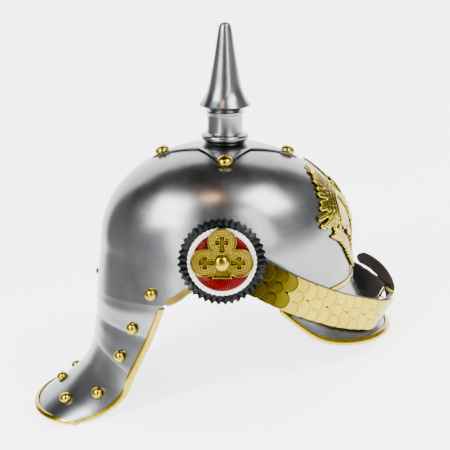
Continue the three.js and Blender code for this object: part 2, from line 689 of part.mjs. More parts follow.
// How the band leans and narrows on its way, by the share of the route from boss to front centre. Columns:
// forward and inward are how far its upper edge leans over, and width runs from the boss's (1) to the
// front's (0).
const STRAP_LEAN = [
  { at: 0, forward: 0.44, inward: 0, width: 1 },
  { at: 0.3, forward: 0.45, inward: 0.08, width: 0.9 },
  { at: 0.5, forward: 0.46, inward: 0.2, width: 0.79 },
  { at: 0.65, forward: 0.48, inward: 0.38, width: 0.68 },
  { at: 0.8, forward: 0.53, inward: 0.42, width: 0.5 },
  { at: 0.92, forward: 0.56, inward: 0.3, width: 0.2 },
  { at: 1, forward: 0.56, inward: 0, width: 0 },
];
const strapFrontHeight = visorAt(0, 0.85).z + BUCKLE_HEIGHT * 0.45 + 2.2;
const bossMiddle = BOSS_SEAT + LEATHER / 2;

function routePoints(side, rows) {
  const { foot, way } = bossFrame(side);
  const start = shift(foot, way, bossMiddle);
  const slope = radians(STRAP_SLOPE);
  const tilt = radians(BOSS_TILT);
  const drop = Math.sin(slope);
  const ahead = vector(side * drop * Math.sin(tilt), -Math.cos(slope), -drop * Math.cos(tilt));
  const straight = [0.45, 0.9].map((share) => shift(start, ahead, BLACK_RADIUS * share));
  const points = rows.map(({ ahead, out, down }) =>
    vector(start.x * (1 + out), visorTip * ahead, start.z + (strapFrontHeight - start.z) * down));
  return [start, ...straight, ...points];
}

function strapRoute(side, withTongue) {
  const rows = withTongue ? [...STRAP_ROUTE, ...TONGUE_ROUTE] : STRAP_ROUTE;
  return new THREE.CatmullRomCurve3(routePoints(side, rows), false, 'centripetal');
}

const halfRouteLength = strapRoute(1, false).getLength();

// The strap's frame at a distance from the boss: across points up over its width, out away from the head.
function strapFrame(route, side, distance) {
  const share = THREE.MathUtils.clamp(distance / route.getLength(), 0, 1);
  const point = route.getPointAt(share);
  const along = route.getTangentAt(share);
  const { way } = bossFrame(side);
  const boss = way.clone().cross(along);
  if (boss.z < 0) {
    boss.negate();
  }
  const progress = Math.min(distance / halfRouteLength, 1);
  const forward = between(STRAP_LEAN, Math.max(progress, 0), 'forward');
  const inward = between(STRAP_LEAN, Math.max(progress, 0), 'inward');
  const front = vector(-side * inward, -forward, 1 - forward * 0.4).normalize();
  const blend = THREE.MathUtils.smoothstep(distance, BLACK_RADIUS * 0.9, 1.6 * BLACK_RADIUS);
  const across = boss.lerp(front, blend).normalize();
  const out = along.clone().cross(across).normalize().multiplyScalar(-side);
  across.copy(out).cross(along).normalize();
  if (across.z < 0) {
    across.negate();
  }
  return { point, across, out };
}

function strapTaper(distance) {
  const progress = THREE.MathUtils.clamp(distance / halfRouteLength, 0, 1);
  return STRAP_FRONT_WIDTH + (STRAP_BOSS_WIDTH - STRAP_FRONT_WIDTH) * between(STRAP_LEAN, progress, 'width');
}

function strapPoint(route, side, distance, width, height) {
  const { point, across, out } = strapFrame(route, side, distance);
  return shift(shift(point, across, width), out, height);
}

function leatherStrap(side, withTongue, drill) {
  const route = strapRoute(side, withTongue);
  const total = withTongue ? route.getLength() : halfRouteLength - BUCKLE_WIDTH * 0.85;
  const start = -STRAP_BOSS_WIDTH / 3;
  const columns = withTongue ? 34 : 24;
  const at = (height) => (i, j) => {
    const distance = start + (total - start) * i / columns;
    const near = THREE.MathUtils.smoothstep(distance, halfRouteLength - 20, halfRouteLength - 4);
    const beyond = withTongue ? near : 0;
    const half = strapTaper(distance) / 2;
    const edge = j === 0 ? LEATHER_SHY - half : LEATHER_MARGIN + half;
    const freeEdge = (j - 0.5) * TONGUE_WIDTH;
    const rounded = i === columns && withTongue ? 0.5 : Math.min(1, Math.sqrt((i + 1) / 3));
    const { point, across, out } = strapFrame(route, side, distance);
    const along = route.getTangentAt(0).multiplyScalar(Math.min(distance, 0));
    const offset = (edge + (freeEdge - edge) * beyond) * rounded;
    return shift(shift(point.add(along), across, offset), out, height);
  };
  return cut(sheet(columns, 1, at(LEATHER / 2), at(-LEATHER / 2)), [drill]);
}

// One scale: a sheet that climbs from its root to a scalloped edge of two or three lobes.
function scale(route, side, start, lobes) {
  const steps = 3;
  const columns = lobes * steps;
  const width = strapTaper(start);
  const length = SCALE_PITCH + SCALE_LAP;
  const foot = LEATHER / 2 + SCALE_SEAT;
  const at = (top) => (i, j) => {
    const inLobe = (i % steps) / steps * 2 - 1;
    const scallop = 1 - Math.sqrt(1 - Math.min(Math.abs(i % steps === 0 ? 1 : inLobe), 1) ** 2);
    const reach = j === 0 ? 0 : length - 0.45 * width / lobes * scallop;
    const height = foot + (top ? SCALE_SHEET + (j === 0 ? 0 : SCALE_STEP) : 0);
    return strapPoint(route, side, start + reach, (i / columns - 0.5) * width, height);
  };
  return sheet(columns, 1, at(true), at(false));
}

function chinScales(side, drill) {
  const route = strapRoute(side, false);
  const first = BLACK_RADIUS * 0.25;
  const last = halfRouteLength - BUCKLE_WIDTH * (side < 0 ? 0.3 : 1.1);
  const count = Math.floor((last - first) / SCALE_PITCH);
  const pieces = [];
  for (let k = 0; k < count; k += 1) {
    pieces.push(scale(route, side, first + k * SCALE_PITCH, 2 + k % 2));
  }
  const width = STRAP_BOSS_WIDTH;
  const foot = LEATHER / 2 + SCALE_SEAT;
  const at = (height) => (i, j) => {
    const distance = -width / 3 + (first + SCALE_LAP + width / 3) * i / 2;
    const { point, across, out } = strapFrame(route, side, distance);
    const along = route.getTangentAt(0).multiplyScalar(Math.min(distance, 0));
    return shift(shift(point.add(along), across, (j - 0.5) * width * (i === 0 ? 0.7 : 1)), out, height);
  };
  pieces.push(sheet(2, 1, at(foot + SCALE_SHEET), at(foot)));
  return cut(joined(pieces), [drill]);
}

// The corners of a rectangle with rounded ends to its sides, half as wide and high as given.
function roundedRectangle(w, h, radius) {
  const steps = 3;
  const corners = [[1, -1], [1, 1], [-1, 1], [-1, -1]];
  return corners.flatMap(([x, y], k) => Array.from({ length: steps + 1 }, (_, m) => {
    const angle = (k - 1 + m / steps) * Math.PI / 2;
    const centre = new THREE.Vector2(x * (w - radius), y * (h - radius));
    return centre.add(new THREE.Vector2(radius * Math.cos(angle), radius * Math.sin(angle)));
  }));
}

// Buckle on the end of the left half, which the right half's leather comes out through.
function buckle() {
  const [w, h] = [BUCKLE_WIDTH / 2, BUCKLE_HEIGHT / 2];
  const frame = new THREE.Shape(roundedRectangle(w, h, BUCKLE_WIRE));
  const opening = roundedRectangle(w - BUCKLE_WIRE, h - BUCKLE_WIRE, BUCKLE_WIRE / 3);
  frame.holes.push(new THREE.Path(opening.reverse()));
  return new THREE.ExtrudeGeometry(frame, { depth: BUCKLE_WIRE * 0.8, bevelEnabled: false });
}

// The front plate stands between the seam strip and the front stud of the base plate.
const EAGLE_FOOT = BROW_HEIGHT + SEAM_STRIP_WIDTH / 2 + EAGLE_FOOT_GAP;
const frontStudHeight = domeHeight(0, BASE_STUD_SHARE * PLATE_ARM_LENGTHWAYS);
const EAGLE_HEIGHT = frontStudHeight - EAGLE_CROWN_GAP - EAGLE_FOOT;

// Front plate: a pressed sheet over the brow with a spread eagle in relief. Its outline is seen from the
// front. Columns: out is a share of the half span and up one of the plate's height.
const EAGLE_OUTLINE = [
  { out: 0, up: 1 },
  { out: 0.05, up: 0.96 },
  { out: 0.13, up: 0.945 },
  { out: 0.18, up: 0.89 },
  { out: 0.12, up: 0.835 },
  { out: 0.2, up: 0.79 },
  { out: 0.13, up: 0.73 },
  { out: 0.2, up: 0.7 },
  { out: 0.25, up: 0.84 },
  { out: 0.36, up: 1 },
  { out: 0.42, up: 0.93 },
  { out: 0.52, up: 0.955 },
  { out: 0.57, up: 0.88 },
  { out: 0.68, up: 0.89 },
  { out: 0.7, up: 0.81 },
  { out: 0.8, up: 0.8 },
  { out: 0.78, up: 0.71 },
  { out: 0.87, up: 0.66 },
  { out: 0.9, up: 0.68 },
  { out: 1, up: 0.61 },
  { out: 0.99, up: 0.5 },
  { out: 0.87, up: 0.47 },
  { out: 0.75, up: 0.45 },
  { out: 0.68, up: 0.41 },
  { out: 0.6, up: 0.35 },
  { out: 0.53, up: 0.3 },
  { out: 0.45, up: 0.24 },
  { out: 0.38, up: 0.18 },
  { out: 0.26, up: 0.1 },
  { out: 0.15, up: 0.05 },
  { out: 0.08, up: 0.015 },
  { out: 0, up: 0 },
];
const EAGLE_GAP = [
  { out: 0.16, up: 0.44 },
  { out: 0.44, up: 0.43 },
  { out: 0.36, up: 0.33 },
  { out: 0.2, up: 0.2 },
  { out: 0.18, up: 0.32 },
];

function eagle() {
  const place = ({ out, up }) => [EAGLE_HALF_SPAN * out, EAGLE_FOOT + EAGLE_HEIGHT * up];
  const right = EAGLE_OUTLINE.map(place);
  const left = right.slice(1, -1).reverse().map(([x, z]) => [-x, z]);
  const shape = new THREE.Shape([...right, ...left].reverse().map(([x, z]) => new THREE.Vector2(x, z)));
  for (const side of [-1, 1]) {
    shape.holes.push(new THREE.Path(EAGLE_GAP.map(place).map(([x, z]) => new THREE.Vector2(side * x, z))));
  }
  const front = new THREE.ExtrudeGeometry(shape, { depth: SKULL_LENGTH, bevelEnabled: false });
  front.rotateX(Math.PI / 2);
  const columns = 15;
  const rows = 14;
  const at = (rise) => (i, j) => {
    const x = (i / columns * 2 - 1) * EAGLE_HALF_SPAN * 1.03;
    const height = EAGLE_FOOT - 0.1 + (EAGLE_HEIGHT + 0.6) * j / rows;
    const foot = skullAtHeight(Math.asin(THREE.MathUtils.clamp(x / (halfWidth * 1.03), -1, 1)), height);
    const relief = eagleRelief(Math.abs(x) / EAGLE_HALF_SPAN, (height - EAGLE_FOOT) / EAGLE_HEIGHT);
    return shift(foot, skullNormal(foot), EAGLE_STANDOFF + (rise ? EAGLE_SHEET + relief : 0));
  };
  const block = sheet(columns, rows, at(true), at(false));
  return geometryOf(solidOf(block).intersect(solidOf(front)));
}

// Height of the relief over the plate: a full breast, a raised wing shoulder and a low tail.
function eagleRelief(out, up) {
  const bump = (x, z, width, height) => Math.exp(-(((out - x) / width) ** 2) - ((up - z) / height) ** 2);
  const breast = bump(0, 0.58, 0.16, 0.2);
  const head = bump(0, 0.84, 0.13, 0.09);
  const wing = bump(0.45, 0.76, 0.22, 0.16);
  const tail = bump(0, 0.2, 0.14, 0.16);
  return EAGLE_RELIEF * (breast + 0.9 * head + 0.55 * wing + 0.6 * tail);
}

// Angles of the skull's columns on one side, front to back, with the ear's and the nape's shared by the
// pieces that lie against them there.
const spread = (from, to, count) => Array.from({ length: count }, (_, k) => from + (to - from) * k / count);
const EAR_ANGLES = spread(VISOR_CORNER_ANGLE, NECK_CORNER_ANGLE, 10);
const NECK_COLUMNS = 16;
const NAPE_ANGLES = spread(NECK_CORNER_ANGLE, 180, NECK_COLUMNS / 2);
const leftAngles = [...spread(0, VISOR_CORNER_ANGLE, 6), ...EAR_ANGLES, ...NAPE_ANGLES, 180];
const rightAngles = leftAngles.slice(1, -1).reverse().map((angle) => 360 - angle);
const SKULL_ANGLES = [...leftAngles, ...rightAngles].map(radians);

function skullBody(drills) {
  const rows = 8;
  const at = (depth) => (i, j) => {
    const angle = SKULL_ANGLES[i];
    const foot = latitudeOf(edgeHeight(angle));
    const latitude = foot + (Math.PI / 2 - foot) * j / rows;
    const point = skullAt(angle, latitude);
    return shift(point, skullNormal(point), -depth);
  };
  return cut(sheet(SKULL_ANGLES.length, rows, at(0), at(STEEL), { wrapped: true, domed: true }), drills);
}

// The neck's plates, each with the stations of its rows, the seam of the plate above and where it comes up
// flush with that.
const PLATES = [
  { name: 'neck_lame_upper', stations: [-0.35, 0, 0.4, 1], seam: 0, flush: 0.4 },
  { name: 'neck_lame_lower', stations: [0.42, 1, 1.4, 2], seam: 1, flush: 1.4 },
  { name: 'neck_guard', stations: [1.42, 2, 3, 4, 5, 6, 7], seam: 2, flush: 3 },
];

// A neck plate between stations. It is tucked under the plate above it and comes up flush below that.
function neckPlate({ stations, seam, flush }, drills) {
  const at = (depth) => (i, j) => {
    const station = stations[j];
    const share = i / NECK_COLUMNS * 2 - 1;
    const sunk = LAP_DEPTH * (1 - THREE.MathUtils.smoothstep(station, seam, flush));
    return shift(neckAt(share, station), neckNormal(share, station), -sunk - depth);
  };
  return cut(sheet(NECK_COLUMNS, stations.length - 1, at(0), at(STEEL)), drills);
}

const VISOR_COLUMNS = 24;
const VISOR_STATIONS = [0, 0.14, 0.36, 0.66, 0.87, 1];
const VISOR_END = 0.955;

function visor() {
  const at = (depth) => (i, j) => {
    const share = (i / VISOR_COLUMNS * 2 - 1) * VISOR_END;
    const down = VISOR_STATIONS[j];
    return shift(visorAt(share, down), visorNormal(share, down), -depth);
  };
  return sheet(VISOR_COLUMNS, VISOR_STATIONS.length - 1, at(0), at(STEEL));
}

function seamStrip() {
  const at = (rise) => (i, j) => {
    const share = (i / VISOR_COLUMNS * 2 - 1) * VISOR_END;
    if (j === 0) {
      const height = BROW_HEIGHT + SEAM_STRIP_WIDTH / 2;
      const point = skullAtHeight(radians(VISOR_CORNER_ANGLE) * share, height);
      return shift(point, skullNormal(point), rise);
    }
    const down = j === 1 ? 0 : SEAM_STRIP_WIDTH / 2 / (2 * VISOR_FLARE.drop * VISOR_DROP);
    const normal = visorNormal(share, down);
    if (j === 1) {
      normal.add(skullNormal(browOf(radians(VISOR_CORNER_ANGLE) * share))).normalize();
    }
    return shift(visorAt(share, down), normal, rise);
  };
  return sheet(VISOR_COLUMNS, 2, at(2 * GAP + BRASS), at(2 * GAP));
}

function neckRim() {
  const start = 0.12;
  const stations = PLATES.flatMap((plate) => plate.stations).filter((station) => station > start);
  const down = [...new Set([start, ...stations])].sort((a, b) => a - b);
  const places = [];
  for (const station of down) {
    places.push([-1, station]);
  }
  for (let i = 1; i < NECK_COLUMNS; i += 1) {
    places.push([i / NECK_COLUMNS * 2 - 1, down[down.length - 1]]);
  }
  for (const station of down.reverse()) {
    places.push([1, station]);
  }
  const tail = down[0];
  const frames = places.map(([share, station]) => {
    const point = neckAt(share, station);
    const nextShare = Math.abs(share) === 1 ? share * (1 - 2 / NECK_COLUMNS) : share;
    const into = neckAt(nextShare, station === tail ? tail - 1 : station).sub(point).normalize();
    const normal = neckNormal(share, station);
    const out = shift(normal, into, -normal.dot(into)).normalize();
    const lapped = 1 - THREE.MathUtils.smoothstep(station, PLATES[2].seam, PLATES[2].flush);
    return { point, out, into, under: STEEL + 2 * GAP + LAP_DEPTH * lapped };
  });
  return foldedEdge(frames, { lap: NECK_RIM_WIDTH - BRASS - BEAD_ROOM, over: 3 * GAP, inner: NECK_INSIDE });
}

function visorRim() {
  const frames = [];
  for (let i = 0; i <= VISOR_COLUMNS; i += 1) {
    const share = (i / VISOR_COLUMNS * 2 - 1) * VISOR_END;
    const point = visorAt(share, 1);
    const into = visorAt(share, 0.8).sub(point).normalize();
    const most = 0.55 * visorAt(share, 0).distanceTo(point);
    frames.push({ point, out: visorNormal(share, 1), into, most });
  }
  const lap = VISOR_RIM_WIDTH - BRASS - BEAD_ROOM;
  return foldedEdge(frames, { lap, over: 2 * GAP, under: STEEL + 2 * GAP, inner: vector(0, 0, 0) });
}

function earTrim(side) {
  const frames = [...EAR_ANGLES.slice(1), NECK_CORNER_ANGLE - 1.6].map((degrees) => {
    const angle = side * radians(degrees);
    const point = skullAtHeight(angle, edgeHeight(angle));
    return { point, out: skullNormal(point) };
  });
  const room = { lap: EAR_TRIM_WIDTH, over: GAP, under: STEEL + GAP, inner: vector(0, 0, 2 * CROWN_RISE) };
  return foldedEdge(frames, room);
}

const bossDrills = [cockade(-1, 'right'), cockade(1, 'left')];
const crownDrill = rod(FIXING_RADIUS + GAP, crown - 10, crown + 10, 12);
const skullDrills = [crownDrill, ...bossDrills, rearRivet.drill, ...skullStuds.map(({ piece }) => piece.drill)];
add('skull', skullBody([...skullDrills, ...baseStuds.map(({ drill }) => drill)]), steel());
add('rear_rivet', rearRivet.geometry, steel(), rearRivet.matrix);

for (const plate of PLATES) {
  const drills = neckStuds.filter(({ plates }) => plates.includes(plate.name)).map(({ piece }) => piece.drill);
  const skullOnes = plate.name === 'neck_lame_upper' ? skullStuds.map(({ piece }) => piece.drill) : [];
  add(plate.name, neckPlate(plate, [...drills, ...skullOnes]), steel());
}
for (const { name, piece } of [...skullStuds, ...neckStuds]) {
  add(name, piece.geometry, brass(), piece.matrix);
}

add('neck_guard_rim', neckRim(), brass());
add('visor', visor(), steel());
add('visor_rim', visorRim(), brass());
add('visor_seam_strip', seamStrip(), brass());
add('ear_trim_right', earTrim(-1), oldBrass());
add('ear_trim_left', earTrim(1), oldBrass());

add('spike_base', cut(basePlate(), baseStuds.map(({ drill }) => drill)), steel());
for (const { name, geometry, matrix } of baseStuds) {
  add(name, geometry, brass(), matrix);
}
add('spike_neck', spikeNeck(), steel());
add('spike', spike(), steel());
add('crown_nut', capNut(), steel());

add('eagle_plate', eagle(), brass());

for (const [side, hand, drill] of [[-1, 'right', bossDrills[0]], [1, 'left', bossDrills[1]]]) {
  add(`chin_scales_${hand}`, chinScales(side, drill), brass());
  add(`strap_leather_${hand}`, leatherStrap(side, side < 0, drill), leather());
}

const leftRoute = strapRoute(1, false);
const buckleAt = strapFrame(leftRoute, 1, halfRouteLength - BUCKLE_WIDTH * 0.45);
const bucklePlace = shift(buckleAt.point, buckleAt.out, LEATHER / 2 + GAP);
const buckleMatrix = seated(bucklePlace, buckleAt.out);
add('buckle_frame', buckle(), brass(), buckleMatrix);

// The helmet tips forward until it bears on the visor's rim in front and the neck guard's rim behind.
// The tip is the slope of the lowest line that touches both, found on the outline seen from the side.
function restingTilt() {
  helmet.updateMatrixWorld(true);
  const corners = [];
  helmet.traverse((mesh) => {
    if (mesh.isMesh) {
      const place = mesh.geometry.attributes.position;
      for (let k = 0; k < place.count; k += 1) {
        corners.push(vector().fromBufferAttribute(place, k).applyMatrix4(mesh.matrixWorld));
      }
    }
  });
  const ahead = corners.filter(({ y }) => y < 0);
  const behind = corners.filter(({ y }) => y > 0);
  let tilt = 0;
  for (let round = 0; round < 5; round += 1) {
    const height = ({ y, z }) => y * Math.sin(tilt) + z * Math.cos(tilt);
    const lowest = (list) => list.reduce((low, corner) => (height(corner) < height(low) ? corner : low));
    const [front, rear] = [lowest(ahead), lowest(behind)];
    tilt = Math.atan2(front.z - rear.z, rear.y - front.y);
  }
  return tilt;
}

helmet.rotation.x = restingTilt();
helmet.updateMatrixWorld(true);
const box = new THREE.Box3().setFromObject(helmet, true);
const middle = box.getCenter(vector());
helmet.position.set(-middle.x, -middle.y, -box.min.z);

const part = new THREE.Group();
part.add(helmet);
export default part;
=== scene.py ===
"""Looks of a polished steel spiked helmet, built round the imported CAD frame."""
import math

import bmesh
import bpy
import numpy as np
from mathutils import Matrix, Vector


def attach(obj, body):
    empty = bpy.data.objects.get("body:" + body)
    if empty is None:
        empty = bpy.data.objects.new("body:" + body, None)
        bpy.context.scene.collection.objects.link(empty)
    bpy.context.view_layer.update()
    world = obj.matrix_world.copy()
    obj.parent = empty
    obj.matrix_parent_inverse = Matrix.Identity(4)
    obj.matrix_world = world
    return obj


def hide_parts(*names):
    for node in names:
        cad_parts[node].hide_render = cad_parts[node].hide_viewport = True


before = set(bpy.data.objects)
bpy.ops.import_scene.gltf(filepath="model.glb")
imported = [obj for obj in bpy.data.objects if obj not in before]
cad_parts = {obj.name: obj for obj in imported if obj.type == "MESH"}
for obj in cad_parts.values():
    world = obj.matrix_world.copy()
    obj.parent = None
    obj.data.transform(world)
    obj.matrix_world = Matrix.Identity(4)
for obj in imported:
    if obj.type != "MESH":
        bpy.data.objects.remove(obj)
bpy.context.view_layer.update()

MM = 0.001
IMAGE_SIZE = 450

# Sizes in millimetres round the level helmet, as in the CAD source.
SKULL_LENGTH, SKULL_WIDTH = 236.0, 189.0
WIDEST_HEIGHT, CROWN_RISE, DOME_POWER, LOWER_FLARE = 38.0, 94.0, 2.2, 0.12
# The steel is thinner here than in the CAD source, but the brass edges fold round the CAD's sheet.
STEEL, CAD_STEEL, GAP = 0.9, 1.2, 0.3
BROW_HEIGHT, VISOR_CORNER, NECK_CORNER = 9.0, 70.0, 116.5
EAR_ARCH, REAR_DIP = 23.0, 5.0
NECK_DROP, NECK_REACH, TAIL_HALF_WIDTH, SIDE_SPREAD, PLATE_TUCK = 125.0, 65.0, 60.0, 1.36, 9.0
VISOR_REACH, VISOR_DROP = 37.6, 52.0
BRASS = 0.8
RIM_BEAD = BRASS + 1.0
NECK_RIM_WIDTH, VISOR_RIM_WIDTH, EAR_TRIM_WIDTH, SEAM_WIDTH = 6.0, 6.5, 5.0, 4.4
# Radius and height of each kind of stud's head.
STUD_SIZE, BASE_STUD_SIZE, RIVET_SIZE = (5.7, 5.7), (6.8, 5.4), (3.0, 2.4)
HALF_LENGTH, HALF_WIDTH = SKULL_LENGTH / 2, SKULL_WIDTH / 2
CROWN = WIDEST_HEIGHT + CROWN_RISE
PLATE_SEAT, PLATE_THICKNESS = 0.7, 1.0
ARM_LONG, ARM_SHORT, ARM_STUD_SHARE = 68.0, 54.0, 0.845
CORNER_AHEAD, CORNER_ASIDE = 24.0, 18.0
NECK_FOOT = CROWN + PLATE_SEAT + PLATE_THICKNESS + GAP
NECK_HEIGHT, SPIKE_HEIGHT, SPIKE_RADIUS = 28.4, 80.5, 24.1
SPIKE_FOOT = NECK_FOOT + NECK_HEIGHT + GAP
SPIKE_TIP = SPIKE_FOOT + SPIKE_HEIGHT


def node_points(name):
    """A CAD node's vertices in millimetres."""
    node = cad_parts[name]
    points = np.array([node.matrix_world @ v.co for v in node.data.vertices])
    return points / MM


def level_frame():
    """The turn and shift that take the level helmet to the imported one, from the spike's axis."""
    spike = node_points("spike")
    top = spike[np.argmax(spike[:, 2] * 2 - spike[:, 1])]
    axis = top - node_points("crown_nut").mean(0)
    tilt = math.atan2(-axis[1], axis[2])
    return tilt, (top[1] + SPIKE_TIP * math.sin(tilt), top[2] - SPIKE_TIP * math.cos(tilt))


TILT, (SHIFT_Y, SHIFT_Z) = level_frame()
LEVEL = Matrix.Translation((0, SHIFT_Y * MM, SHIFT_Z * MM)) @ Matrix.Rotation(TILT, 4, "X")


def to_world(points):
    """Level points in millimetres to world points in metres."""
    points = np.asarray(points, float)
    c, s = math.cos(TILT), math.sin(TILT)
    x, y, z = points[..., 0], points[..., 1], points[..., 2]
    return np.stack([x, y * c - z * s + SHIFT_Y, y * s + z * c + SHIFT_Z], -1) * MM


def unit(v):
    return v / np.maximum(np.linalg.norm(v, axis=-1, keepdims=True), 1e-12)


def smoothstep(x, low, high):
    t = np.clip((np.asarray(x, float) - low) / (high - low), 0, 1)
    return t * t * (3 - 2 * t)


def circle_angles(count):
    return np.linspace(0, 2 * math.pi, count, endpoint=False)


def between(places, values, at):
    """A smooth value between table rows, by the Hermite curve through them."""
    places, values, at = np.asarray(places, float), np.asarray(values, float), np.asarray(at, float)
    k = np.clip(np.searchsorted(places, at, side="left") - 1, 0, len(places) - 2)
    here = np.arange(len(places))
    before, after = np.maximum(here - 1, 0), np.minimum(here + 1, len(places) - 1)
    slopes = (values[after] - values[before]) / (places[after] - places[before])
    width = places[k + 1] - places[k]
    t = (at - places[k]) / width
    share = 3 * t**2 - 2 * t**3
    bends = (t**3 - 2 * t**2 + t) * slopes[k] + (t**3 - t**2) * slopes[k + 1]
    return (1 - share) * values[k] + share * values[k + 1] + width * bends


# ---------------------------------------------------------------- surfaces
def latitude_of(height):
    rise = (np.asarray(height, float) - WIDEST_HEIGHT) / CROWN_RISE
    return np.where(rise > 0, np.arcsin(np.clip(rise, 0, 1) ** (DOME_POWER / 2)), rise)


def skull_at(angle, latitude):
    angle, latitude = np.broadcast_arrays(np.asarray(angle, float), np.asarray(latitude, float))
    high = latitude > 0
    sine, cosine = np.clip(np.sin(latitude), 0, 1), np.clip(np.cos(latitude), 0, 1)
    up = np.where(high, sine ** (2 / DOME_POWER), latitude)
    out = np.where(high, cosine ** (2 / DOME_POWER), 1 - latitude * LOWER_FLARE * CROWN_RISE / HALF_LENGTH)
    height = WIDEST_HEIGHT + CROWN_RISE * up
    return np.stack([HALF_WIDTH * out * np.sin(angle), -HALF_LENGTH * out * np.cos(angle), height], -1)


def skull_at_height(angle, height):
    return skull_at(angle, latitude_of(height))


def skull_normal(p):
    x, y, z = p[..., 0], p[..., 1], p[..., 2]
    out = np.hypot(x / HALF_WIDTH, y / HALF_LENGTH)
    rise = (z - WIDEST_HEIGHT) / CROWN_RISE
    high = rise > 0
    safe = np.maximum(out, 1e-9)
    steep = np.where(high, safe ** (DOME_POWER - 1), 1)
    lean = np.where(high, np.clip(rise, 0, 2) ** (DOME_POWER - 1) / CROWN_RISE, LOWER_FLARE / HALF_LENGTH)
    spread = np.where(out > 1e-6, steep / safe, 0)
    return unit(np.stack([spread * x / HALF_WIDTH**2, spread * y / HALF_LENGTH**2, lean], -1))


def dome_height(x, y):
    out = np.minimum(np.hypot(x / HALF_WIDTH, y / HALF_LENGTH), 1)
    return WIDEST_HEIGHT + CROWN_RISE * (1 - out**DOME_POWER) ** (1 / DOME_POWER)


EDGE = np.array([
    (VISOR_CORNER, 0, 0), (79, 0.45, 0), (90, 0.86, 0), (100, 1, 0), (105, 0.82, 0), (110, 0.46, 0),
    (NECK_CORNER, 0.18, 0), (130, 0.08, 0), (155, 0, 0.4), (180, 0, 1)])


def edge_height(degrees):
    turn = np.abs((np.asarray(degrees, float) + 180) % 360 - 180)
    rest = np.maximum(turn, VISOR_CORNER)
    from_brow = smoothstep(rest, VISOR_CORNER, NECK_CORNER - 16)
    arch = EAR_ARCH * between(EDGE[:, 0], EDGE[:, 1], rest)
    height = BROW_HEIGHT * (1 - from_brow) + arch - REAR_DIP * between(EDGE[:, 0], EDGE[:, 2], rest)
    return np.where(turn < VISOR_CORNER, BROW_HEIGHT, height)


# Columns: station, back, down, out, behind, below, hub, as in the CAD source.
NECK_SHARES = np.array([
    (1, 0.018, 0.224, 0.5, 0.356, 0.249, 0.1), (2, 0.069, 0.419, 0.31, 0.455, 0.572, 0.25),
    (3, 0.185, 0.612, 0.22, 0.487, 0.715, 0.35), (4, 0.323, 0.712, 0.15, 0.542, 0.82, 0.5),
    (5, 0.492, 0.8, 0.1, 0.619, 0.91, 0.7), (6, 0.738, 0.896, 0.05, 0.693, 0.965, 0.85),
    (7, 1, 1, 0, 0.751, 1, 0.97)])


def neck_rows():
    def row(tuck):
        centre = skull_at_height(math.pi, edge_height(180) + tuck)
        side = skull_at_height(math.radians(NECK_CORNER), edge_height(NECK_CORNER) + tuck)
        return [centre[1], centre[2], side[0], side[1], side[2], 0]
    nape = row(0)
    rows = [[-0.35, *row(PLATE_TUCK)], [0, *nape]]
    for at, back, down, out, behind, below, hub in NECK_SHARES:
        reach = (nape[0] + NECK_REACH) * behind
        half = TAIL_HALF_WIDTH + (nape[2] - TAIL_HALF_WIDTH) * out * SIDE_SPREAD
        rows.append([at, nape[0] + NECK_REACH * back, -NECK_DROP * down, half, reach, -NECK_DROP * below,
                     hub * reach])
    return np.array(rows, float)


NECK_ROWS = neck_rows()


def neck_at(share, station):
    share, station = np.broadcast_arrays(np.asarray(share, float), np.asarray(station, float))
    columns = (between(NECK_ROWS[:, 0], NECK_ROWS[:, k], station) for k in range(1, 7))
    back, down, out, behind, below, hub = columns
    depth = back - hub
    cosine = (behind - hub) / depth
    breadth = out / np.sqrt(1 - cosine**2)
    angle = np.arccos(cosine) * share
    height = down + (below - down) * share**2
    return np.stack([breadth * np.sin(angle), hub + depth * np.cos(angle), height], -1)


def normal_of(face, u, v, away, step=0.01):
    n = unit(np.cross(face(u + step, v) - face(u - step, v), face(u, v + step) - face(u, v - step)))
    flip = np.sum(n * (face(u, v) - away), -1, keepdims=True) < 0
    return np.where(flip, -n, n)


def neck_normal(share, station):
    middle = np.array([0, 0, -NECK_DROP / 3])
    return normal_of(neck_at, np.asarray(share, float) * 0.98, np.minimum(station, 6.98), middle)


VISOR_RIM_DROP = np.array([
    (0, 1), (0.37, 0.975), (0.55, 0.92), (0.667, 0.845), (0.763, 0.73), (0.86, 0.49), (0.954, 0.19), (1, 0)])
VISOR_RUN, VISOR_FALL, VISOR_END = 0.196, 0.58, 0.955
VISOR_SIDE = skull_at_height(math.radians(VISOR_CORNER), BROW_HEIGHT)
VISOR_TIP = skull_at_height(0, BROW_HEIGHT)[1] - VISOR_REACH


def visor_at(share, down):
    share, down = np.broadcast_arrays(np.asarray(share, float), np.asarray(down, float))
    root = skull_at_height(math.radians(VISOR_CORNER) * share, BROW_HEIGHT)
    root[..., 2] = BROW_HEIGHT - GAP
    angle = share * math.pi / 2
    depth = VISOR_TIP - VISOR_SIDE[1]
    drop = VISOR_DROP * between(VISOR_RIM_DROP[:, 0], VISOR_RIM_DROP[:, 1], np.abs(share))
    rim = np.stack([VISOR_SIDE[0] * np.sin(angle), VISOR_SIDE[1] + depth * np.cos(angle),
                    BROW_HEIGHT - drop], -1)
    bend = 2 * down * (1 - down)
    run, fall = bend * VISOR_RUN + down**2, bend * VISOR_FALL + down**2
    point = root + (rim - root) * run[..., None]
    point[..., 2] = root[..., 2] + (rim[..., 2] - root[..., 2]) * fall
    return point


def visor_normal(share, down):
    return normal_of(visor_at, share, np.clip(down, 0.02, 0.98), np.array([0, 0, -VISOR_DROP]))


# ---------------------------------------------------------------- meshes
def bm_fix(mesh, merge=True):
    """Joins the points that meet and turns every face outward."""
    bm = bmesh.new()
    bm.from_mesh(mesh)
    if merge:
        bmesh.ops.remove_doubles(bm, verts=bm.verts, dist=2e-7)
    bmesh.ops.recalc_face_normals(bm, faces=bm.faces)
    bm.to_mesh(mesh)
    bm.free()


